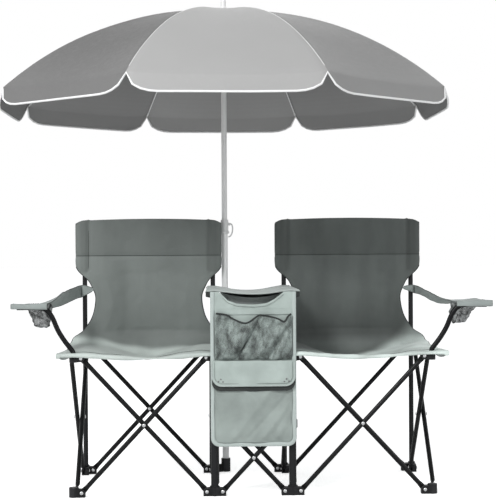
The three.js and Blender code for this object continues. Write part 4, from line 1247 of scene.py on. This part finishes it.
def makeBag():
    b = bagShape
    tall = b["top"] - b["low"]
    rings = [bagRing(b["top"] + b["rise"], 0, 15), bagRing(b["top"] + 4, -1, 6)]
    rings += [bagRing(b["top"] - tall * share, swell) for share, swell in b["wall"]]
    rings += [bagRing(b["low"] - under, swell) for under, swell in b["floor"]]
    grid = smoothGrid(rings, 60, 132)
    grid = creased(grid, b["creases"])
    grid[:, -1] = grid[:, 0]
    normals, uv = gridNormals(grid), gridUv(grid)
    offset = grid[0, :, 1] - (grid[0, :, 1].min() + grid[0, :, 1].max()) / 2
    split = [k + 1 for k in range(len(offset) - 1) if offset[k] * offset[k + 1] <= 0]
    first, second = split[0], split[-1]

    def rearHalf(values, shift=0):
        return np.concatenate([values[:, second:-1], values[:, : first + 1] + shift], axis=1)

    front = [values[:, first : second + 1] for values in (grid, normals, uv)]
    rear = [rearHalf(grid), rearHalf(normals), rearHalf(uv, np.array([uv[0, -1, 0], 0]))]
    for label, body, half in (("front", leftPost, front), ("rear", "root", rear)):
        piece = clothPiece(
            f"storage_bag_{label}", half[0], b["thick"], "lining",
            half[1], half[2]
        )
        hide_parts("storage_bag")
        onCentre(piece, body)


makeBag()
print("bag made")

# organizer panel; lines are x and z in front view
panelShape = {
    "half": 133,
    "top": 643,
    "low": 159,
    "corner": 26,
    "front": -247.4,
    "thick": 2.2,
    # up to the table at both sides, slack between
    "head": (
        (-133, 643.5), (-107, 643), (-98, 634), (-79, 616), (-52, 606), (0, 602.5), (42, 606.5),
        (68, 620), (86, 634), (97, 643), (133, 643.5)
    ),
    # the tape's section: inset from the panel's edge and depth behind its face
    "tape": ((-0.6, 3), (-1.2, 0.6), (-0.4, -1.2), (4, -2.0), (9, -1.8), (11, -0.2)),
}
pocketHalf = 121
netShape = {
    "low": 430,
    "thick": 0.8,
    "tall": 148,
    "swell": 5,
    "top": (
        (-117, 576), (-84, 571), (-65.5, 560), (-43.7, 549.5), (-25, 545), (-12.5, 549.5), (2, 560),
        (18.7, 570), (40, 568), (59, 563.5), (80, 557), (96.7, 549.5), (109, 566), (118, 573)
    ),
    # slack folds: foot of each one, its slope, width and depth
    "folds": (
        (-90, 0.8, 17, 12), (-56, 0.58, 7, -8), (4, 0.9, 17, 8), (-104, 0.25, 9, -5),
        (48, 0.6, 9, -5), (74, 0.4, 14, 6)
    ),
}
lowShape = {
    "low": 171,
    "thick": 1.5,
    "top": 372,
    "dip": 42,
    "tall": 170,
    "swell": 5,
    "foldFoot": 172,
    "corner": 16,
    # diagonal pulls, given as the net's folds are
    "folds": (
        (-70, 0.75, 16, 5), (-28, 0.9, 11, -3.5), (20, 0.8, 14, 5), (66, 0.55, 12, 4),
        (92, -0.7, 14, 4), (-100, -0.25, 12, 3)
    ),
}
front = panelShape["front"]


def panelGrid(half, low, topOf, corner, yOf, rows, columns):
    # a flat panel with round lower corners; topOf gives the top edge, yOf the face's place
    grid = []
    for r in range(rows):
        v = r / (rows - 1)
        v = v * v * 0.35 + v * 0.65
        row = []
        for c in range(columns):
            u = 2 * c / (columns - 1) - 1
            z = low + (topOf(u * half) - low) * v
            short = max(0, corner - (z - low))
            x = u * (half - corner + math.sqrt(max(0, corner**2 - short**2)))
            row.append((x, yOf(x, z), z))
        grid.append(row)
    return gridAt(grid)


def lineHeight(line, x):
    return float(np.interp(x, [p[0] for p in line], [p[1] for p in line]))


def panelTop(x):
    return lineHeight(panelShape["head"], x)


def panelFace(x, z):
    sway = 1.2 * math.sin(x / 38 + z / 90) + 0.9 * math.sin(z / 47 + 1)
    return front + 1.4 + sway * 0.4


def foldSum(folds, x, rise):
    return sum(
        deep * math.exp(-(((x - foot - rise * slope) / wide) ** 2))
        for foot, slope, wide, deep in folds
    )


def netFace(x, z):
    n = netShape
    rise = z - n["low"]
    v = min(1, max(0, rise / n["tall"]))
    swell = n["swell"] * (1 - (x / 120) ** 2) * math.sin(math.pi * v * 0.8)
    edge = min(1, (pocketHalf - abs(x)) / 16) * min(1, (rise + 2) / 14)
    lift = 2.4 + 6.6 * min(1, max(0, rise - 2) / 24)
    return front - lift - swell - foldSum(n["folds"], x, rise) * max(0, edge)


def lowTop(x):
    return lowShape["top"] - lowShape["dip"] * (1 - (x / pocketHalf) ** 2)


def lowFace(x, z):
    n = lowShape
    rise = z - n["foldFoot"]
    v = min(1, max(0, rise / n["tall"]))
    swell = n["swell"] * (1 - (x / pocketHalf) ** 2) * math.sin(math.pi * v * 0.75)
    edge = max(0, min(1, (pocketHalf - abs(x)) / 20) * min(1, (rise + 2) / 18))
    return front - 2.6 - swell - foldSum(n["folds"], x, rise) * edge * 0.7


def foldedPanel(name, grid, finish, thick, crease, seed):
    grid = creased(grid, ((crease, 16, seed),))
    return onCentre(clothPiece(name, grid, thick, finish))


def lowerEdge(half, low, corner, top, count):
    # down one side, round the bottom and up the other side
    def arc(x, start):
        angles = [math.radians(start + 90 * k / 8) for k in range(1, 9)]
        return [(x + corner * math.cos(a), low + corner + corner * math.sin(a)) for a in angles]

    heights = np.linspace(top, low + corner, count)
    path = [(-half, z) for z in heights] + arc(corner - half, 180)
    path += [(x, low) for x in np.linspace(corner - half, half - corner, 16)[1:]]
    return path + arc(half - corner, 270) + [(half, z) for z in heights[-2::-1]]


def makePanel():
    p = panelShape
    grid = panelGrid(p["half"], p["low"], panelTop, p["corner"], panelFace, 70, 60)
    panel = foldedPanel("organizer_panel", grid, "pale", p["thick"], 0.0016, 21)
    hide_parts("organizer")
    # binding tape down both sides and round the bottom
    rows = []
    for inset, behind in p["tape"]:
        edge = (p["half"] - inset, p["low"] + inset, p["corner"] - inset, p["top"], 26)
        rows.append([(x, front + behind, z) for x, z in lowerEdge(*edge)])
    tape = smoothAlong(gridAt(rows), 14)
    name = "organizer_binding"
    onCentre(clothPiece(name, tape, 1.2, "binding"))


def makeNet():
    n = netShape
    top = n["top"]
    grid = panelGrid(pocketHalf, n["low"], lambda x: lineHeight(top, x), 1, netFace, 60, 80)
    foldedPanel("organizer_net", grid, "net", n["thick"], 0.006, 31)
    path = smoothPath([at(x, netFace(x, z) - 1.2, z) for x, z in top], 90)
    onCentre(threadPiece("organizer_elastic", path, 0.0029, "dark", 10))
    grid = panelGrid(pocketHalf, 572, lambda x: 588, 1, lambda x, z: front - 1.6, 10, 40)
    foldedPanel("organizer_head_band", grid, "pale", 1.4, 0.0006, 3)


def makeLowPocket():
    n = lowShape
    grid = panelGrid(pocketHalf, n["low"], lowTop, n["corner"], lowFace, 80, 90)
    foldedPanel("organizer_low_pocket", grid, "pocket", n["thick"], 0.0055, 41)


makePanel()
makeNet()
makeLowPocket()

flapShape = {
    "half": 130,
    "tall": 79,
    "corner": 31,
    "gap": 10.6,
    "thick": 1.8,
    "piping": 0.0021,
    "stitch": 0.0006,
    "stitchInset": 8,
    "creases": ((0.003, 15, 51),),
    "studs": ((103, 22), (110, 15), (96, 14)),  # from the middle and from the lower edge
    "studWide": (0.0026, 0.0026, 0.0016),
}
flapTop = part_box("pocket_flap")[1][2] * 1000 - 0.4
flapLow = flapTop - flapShape["tall"]


def flapFace(x, z):
    fall = (flapTop - z) / 80
    belly = 2.2 * math.sin(math.pi * fall * 0.8) * (1 - (x / flapShape["half"]) ** 2)
    return front - flapShape["gap"] - belly - 2.4 * fall


def flapEdge(inset, lift):
    half, corner = flapShape["half"] - inset, flapShape["corner"] - inset
    edge = lowerEdge(half, flapLow + inset, corner, flapTop - 4, 8)
    return [at(x, flapFace(x, z) - lift, z) for x, z in edge]


def makeFlap():
    f = flapShape
    grid = panelGrid(f["half"], flapLow, lambda x: flapTop, f["corner"], flapFace, 44, 70)
    grid = creased(grid, f["creases"])
    name = "pocket_flap_cloth"
    flap = clothPiece(name, grid, f["thick"], "pale")
    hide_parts("pocket_flap")
    onCentre(flap, "pocket_flap")
    edge = threadPiece("flap_piping", flapEdge(0.6, 0), f["piping"], "binding")
    onCentre(edge, "pocket_flap")
    path = flapEdge(f["stitchInset"], 1.4)
    line = threadPiece("flap_stitch", path, f["stitch"], "stitch", 6)
    onCentre(line, "pocket_flap")
    for k, out in enumerate((-1, 1)):
        for n, (dx, dz) in enumerate(f["studs"]):
            x, z = out * dx, flapLow + dz
            y = flapFace(x, z)
            form = ringTube([at(x, y + step, z) for step in (1, -1.6, -2.6)], f["studWide"], 14)
            stud = meshPiece(f"flap_stud_{k + 1}_{n + 1}", form, "stud", 40)
            onCentre(stud, "pocket_flap")
    # near-black sheet behind the flap: painted shade for the flap's shadow and the lower pocket's
    # shaded mouth
    face = (lambda x: flapTop - 30, 27, lambda x, z: front - 9.2)
    grid = panelGrid(f["half"] + 0.5, flapLow - 15.5, *face, 20, 50)
    onCentre(clothPiece("flap_painted_shadow", grid, 1.4, "dark"))


makeFlap()


def stitchLine(name, path):
    onCentre(threadPiece(name, path, flapShape["stitch"], "stitch", 6))


# beside the lower pocket and the net: from, to and distance from the middle
for k, (low, high, edge) in enumerate(((176, 326, 117), (440, 566, 124))):
    for n, out in enumerate((-1, 1)):
        path = [at(out * edge, front - 2.6, z) for z in np.linspace(low, high, 12)]
        stitchLine(f"panel_stitch_{k + 1}_{n + 1}", path)
stitchLine("head_stitch", [at(x, front - 1, panelTop(x) - 8) for x in np.linspace(-96, 96, 40)])
print("organizer made")

# umbrella; places are from the pole's axis, the piping and stretchers are given by radius
canopy = {
    "ribs": 8,
    "radius": 780,
    "curve": 1172,
    "top": 1606,
    "thick": 1.6,
    "hole": 9,
    "drop": 62,
    "flare": 26,
    "hem": 4,
    "corner": 0.17,
    "slack": 9,
    "perPanel": 24,
    "rows": 40,
    "hemRows": 8,
    "piping": 3.4,
    "closed": 0.33,
    "tip": 771,
    "tipSlope": 0.72,
    "gatherHeight": 1590,
    "stretcher": 1.8,
    "stretcherReach": 280,
    "stretcherLow": ((16.5, 1387), (22, 1388), (150, 1476)),
    "stretcherHigh": ((272, -13), (278, -10)),  # heights from the canopy's at the reach
    "stretcherClosed": 0.2,
    "seam": (0.0009, 0.0009),  # radius and lift
    "capSteps": (-0.01, 0, 0.004, 0.006),
    "capRadii": (0.0032, 0.0034, 0.003, 0.0012),
    # painted light and shade: how pale each panel looks, starting on the right of the front one
    "tones": (0.61, 0.4, 0.64, 0.79, 0.62, 0.36, 0.35, 1.0),
}
axisX, axisY = size["poleX"], size["poleY"]


def domeHeight(radius):
    return canopy["top"] - canopy["curve"] + math.sqrt(canopy["curve"] ** 2 - radius**2)


def ribAngle(k):
    return math.radians(360 * (k + 0.5) / canopy["ribs"] - 90)


def canopyPoint(n, radius, drop, slack):
    k, share = n // canopy["perPanel"], (n % canopy["perPanel"]) / canopy["perPanel"]
    edge = min(share, 1 - share) / canopy["corner"]
    rounded = math.sqrt(min(1, max(0, edge * (2 - min(edge, 1)))))
    fall = max(drop * rounded, canopy["hem"] * drop / canopy["drop"])
    reach = radius + canopy["flare"] * drop * rounded / canopy["drop"]
    a, b = ribAngle(k), ribAngle(k + 1)
    x = (math.cos(a) * (1 - share) + math.cos(b) * share) * reach
    y = (math.sin(a) * (1 - share) + math.sin(b) * share) * reach
    belly = slack * 4 * share * (1 - share)
    return axisX + x, axisY + y, domeHeight(radius) - canopy["thick"] - fall - belly


def canopyRow(r):
    c = canopy
    share = min(1, r / c["rows"])
    radius = c["hole"] + (c["radius"] - c["hole"]) * share
    drop = c["drop"] * max(0, r - c["rows"]) / c["hemRows"]
    slack = c["slack"] * math.sin(math.pi * share * 0.62) * (1 - 0.8 * drop / c["drop"])
    return [canopyPoint(n, radius, drop, slack) for n in range(c["ribs"] * c["perPanel"])]


def paintCanopyLight(piece):
    tones = piece.data.color_attributes.new("canopyPaintedLight", "FLOAT_COLOR", "CORNER")
    # painted light and shade on each canopy panel, kept in a colour attribute
    for polygon in piece.data.polygons:
        x, y, _ = polygon.center - at(axisX, axisY, 0)
        step = 2 * math.pi / canopy["ribs"]
        index = math.floor((math.atan2(y, x) - ribAngle(0)) / step) % canopy["ribs"]
        tone = canopy["tones"][index]
        # painted shade on the dome and painted highlight towards the hem, on all but the front
        # panel
        if index != canopy["ribs"] - 1:
            outer = math.hypot(x, y) * 1000 / canopy["radius"]
            tone *= 0.84 + 0.36 * min(1, max(0, (outer - 0.7) * 4))
        for loop in polygon.loop_indices:
            tones.data[loop].color = (tone, tone, tone, 1)


def makeStretcher(label, outward, base):
    # from the runner to the rib
    c = canopy
    rise = domeHeight(c["stretcherReach"])
    places = list(c["stretcherLow"]) + [(reach, rise + up) for reach, up in c["stretcherHigh"]]
    path = [base + outward * (reach / 1000) + upward * (z / 1000) for reach, z in places]
    form = ringTube(path, c["stretcher"] / 1000, 10)
    stretcher = meshPiece(f"stretcher_{label}", form, "pole")
    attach(stretcher, "runner")
    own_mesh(stretcher)


def makeCap(label, outward, base):
    # little cap on the rib's tip
    c = canopy
    tip = base + outward * (c["tip"] / 1000) + upward * ((domeHeight(c["tip"]) - 8) / 1000)
    slope = (outward * math.cos(c["tipSlope"]) - upward * math.sin(c["tipSlope"])).normalized()
    form = ringTube([tip + slope * step for step in c["capSteps"]], c["capRadii"], 12)
    cap = meshPiece(f"rib_cap_{label}", form, "fitting")
    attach(cap, f"rib_{label}")


def makeGore(k, grid, normals, uv):
    c = canopy
    rib, label = f"rib_{k + 1}", k + 1
    angle = ribAngle(k)
    outward = Vector((math.cos(angle), math.sin(angle), 0))
    half = c["perPanel"] // 2
    picks = [(k * c["perPanel"] + n) % grid.shape[1] for n in range(-half, half + 1)]
    gore, goreNormals = grid[:, picks], normals[:, picks]
    facing = np.cross(gore[5, 6] - gore[5, 5], gore[6, 5] - gore[5, 5])
    if np.dot(facing, goreNormals[5, 5]) < 0:
        gore, goreNormals = gore[:, ::-1], goreNormals[:, ::-1]
    hemLine = [Vector(q) for q in gore[-1]]
    radius = c["piping"] / 1000
    piping = threadPiece(f"canopy_piping_{label}", hemLine, radius, "piping")
    piece = clothPiece(
        f"canopy_gore_{label}", gore, c["thick"], "canopy",
        goreNormals, uv
    )
    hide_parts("canopy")
    paintCanopyLight(piece)
    for cloth in (piece, piping):
        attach(cloth, rib)
        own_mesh(cloth)
    # pale seam above the rib
    radius, lift = c["seam"]
    path = [Vector(gore[r, half] + np.array([0, 0, lift])) for r in range(1, c["rows"] + 1, 2)]
    seam = threadPiece(f"canopy_seam_{label}", path, radius, "piping", 6)
    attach(seam, rib)
    base = at(axisX, axisY, 0)
    makeStretcher(label, outward, base)
    makeCap(label, outward, base)


def makeCanopy():
    c = canopy
    grid = gridAt([canopyRow(r) for r in range(c["rows"] + c["hemRows"] + 1)])
    normals = gridNormals(grid, True)
    if normals[5, 5][2] < 0:
        normals = -normals
    grid = crumple(grid, normals, 0.0022, 4, 61)
    rows, columns = grid.shape[:2]
    across = np.linspace(0, 2 * math.pi * 0.78, columns + 1)[: c["perPanel"] + 1]
    uv = np.dstack(np.meshgrid(across, np.arange(rows) * 0.019))
    for k in range(c["ribs"]):
        makeGore(k, grid, normals, uv)


makeCanopy()

# turned parts of the pole, as radius and height; the crown's heights are from the canopy's top
crown = (
    (9.5, -30.5), (9.5, -28.5), (12, -26.5), (13, -24), (10.8, -23.5), (10.8, -9.5), (21, -9.5),
    (22, -8.5), (21.5, -6.8), (7, -6.5), (7, 0.4), (12.4, 0.6), (13, 1.6), (13, 9), (11.6, 12.5),
    (9.2, 15.5), (9, 18), (9, 34), (8, 38.5), (5, 42), (1.5, 43.8), (0.1, 44)
)
lowerPole = ((4, 4.4), (10.2, 4.4), (11, 5.4), (11, 866.5), (10.6, 867.8), (9.95, 868))
poleParts = {
    "pole_lower": ("pole", "pole_metal", lowerPole + ((9.95, 500), (0.1, 500))),
    "pole_upper": (
        "pole", "pole_metal",
        ((0.1, 470.2), (8.8, 470.2), (9.5, 471), *((r, canopy["top"] + z) for r, z in crown))
    ),
    "pole_collar": (
        "fitting", "pale_plastic",
        (
            (11.4, 829.2), (15.6, 829.2), (16.5, 830), (16.5, 835.2), (15.6, 836.6), (13.7, 839),
            (13.5, 842), (13.5, 872.5), (13.1, 875.5), (12.2, 877.6), (10.4, 877.9), (9.9, 877.4),
            (9.9, 868.6), (11.3, 868.4), (11.3, 830)
        )
    ),
    "runner": (
        "fitting", "pale_plastic",
        (
            (9.9, 1370.2), (13.2, 1370.2), (14, 1371.2), (14, 1388), (17.2, 1391.6), (18, 1392.8),
            (18, 1399), (17.2, 1399.8), (9.9, 1399.8)
        )
    )
}
for node, (finish, slotName, profile) in poleParts.items():
    form = lathe(axisX, axisY, profile, 36)
    piece = meshPiece(f"{node}_turned", form, finish, 35)
    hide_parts(node)
    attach(piece, "pole_lower" if node == "pole_collar" else node)

# locking pin: bent loop, pin and head, from the pole's axis outwards
pinShape = {
    "height": 862,
    "loop": (
        (16.8, 863.6), (21, 863.8), (25.6, 860), (28.2, 850), (27.6, 838), (24.4, 827),
        (18.6, 819.6), (12.6, 817.6)
    ),
    "wire": 0.0024, "pin": ((10.3, 23, 24.5), (0.0029, 0.0029, 0.0018), 16),
    "head": ((13.9, 14.2, 17.6, 18.4), (0.0042, 0.005, 0.005, 0.0036), 20)
}
loop = smoothPath([at(axisX + x, axisY, z) for x, z in pinShape["loop"]], 40)
parts = [ringTube(loop, pinShape["wire"], 12)]
for places, radii, sides in (pinShape["pin"], pinShape["head"]):
    path = [at(axisX + x, axisY, pinShape["height"]) for x in places]
    parts.append(ringTube(path, radii, sides))
pin = meshPiece("lock_pin_loop", gather(parts), "fitting", 40)
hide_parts("lock_pin")
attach(pin, "lock_pin")
print("umbrella made")

# floor, whose glow only the camera sees, and light
floorShape = {"half": 40, "below": 0.0005, "grey": 0.86, "vary": 0.02, "glow": 0.62}
lightSet = {
    "world": 0.5,
    "worldColour": (0.97, 0.99, 1, 1),
    # place, target, power and width
    "lamps": {
        "keyLamp": ((-2.4, -3.8, 3.9), (0, 0, 0.6), 185, 1.3),
        "fillLamp": ((3.2, -3.6, 2.0), (0, 0, 0.6), 32, 2.6),
        "backLamp": ((0.6, 3.4, 3.2), (0, 0, 0.8), 26, 2.4)
    },
}
white = (1, 1, 1)


def makeFloor():
    material, tree, shader = startMaterial("floorPaint")
    speck = noiseOut(tree, addNode(tree, "TexCoord").outputs["Object"], 3, 2)
    greys = [colour(white, floorShape["grey"] + more) for more in (0, floorShape["vary"])]
    paint = mixColour(tree, speck, *greys)
    feed(tree, shader, {"Base Color": paint, "Roughness": 0.9, "Specular IOR Level": 0.1})
    rays = addNode(tree, "LightPath").outputs
    values = {0: rays["Is Camera Ray"], 1: floorShape["glow"]}
    strength = addNode(tree, "Math", values, operation="MULTIPLY").outputs[0]
    glow = addNode(tree, "Emission", {"Strength": strength})
    added = addNode(tree, "AddShader", {0: shader.outputs[0], 1: glow.outputs[0]})
    feed(tree, tree.nodes["Material Output"], {"Surface": added.outputs[0]})
    mesh = bpy.data.meshes.new("floor")
    reach = floorShape["half"]
    corners = [(-reach, -reach, 0), (reach, -reach, 0), (reach, reach, 0), (-reach, reach, 0)]
    mesh.from_pydata(corners, [], [(0, 1, 2, 3)])
    mesh.materials.append(material)
    floor = bpy.data.objects.new("floor", mesh)
    floor.location.z = -floorShape["below"]
    scene.collection.objects.link(floor)


def makeLight():
    world = bpy.data.worlds.new("studio")
    scene.world = world
    world.use_nodes = True
    tree = world.node_tree
    tree.nodes.clear()
    values = {"Color": lightSet["worldColour"], "Strength": lightSet["world"]}
    lit = addNode(tree, "Background", values)
    seen = addNode(tree, "Background", {"Color": colour(white), "Strength": 1})
    rays = addNode(tree, "LightPath").outputs
    direct = rays["Is Camera Ray"]
    for kind in ("Is Glossy Ray", "Is Transmission Ray"):
        direct = addNode(tree, "Math", {0: direct, 1: rays[kind]}, operation="MAXIMUM").outputs[0]
    blend = addNode(tree, "MixShader", {0: direct, 1: lit.outputs[0], 2: seen.outputs[0]})
    addNode(tree, "OutputWorld", {"Surface": blend.outputs[0]})
    for name, (place, target, power, wide) in lightSet["lamps"].items():
        lamp = bpy.data.lights.new(name, "AREA")
        lamp.energy = power
        lamp.size = wide
        lampObject = bpy.data.objects.new(name, lamp)
        scene.collection.objects.link(lampObject)
        lampObject.location = place
        aim = Vector(target) - Vector(place)
        lampObject.rotation_euler = aim.to_track_quat("-Z", "Y").to_euler()


makeFloor()
makeLight()
print("light set")
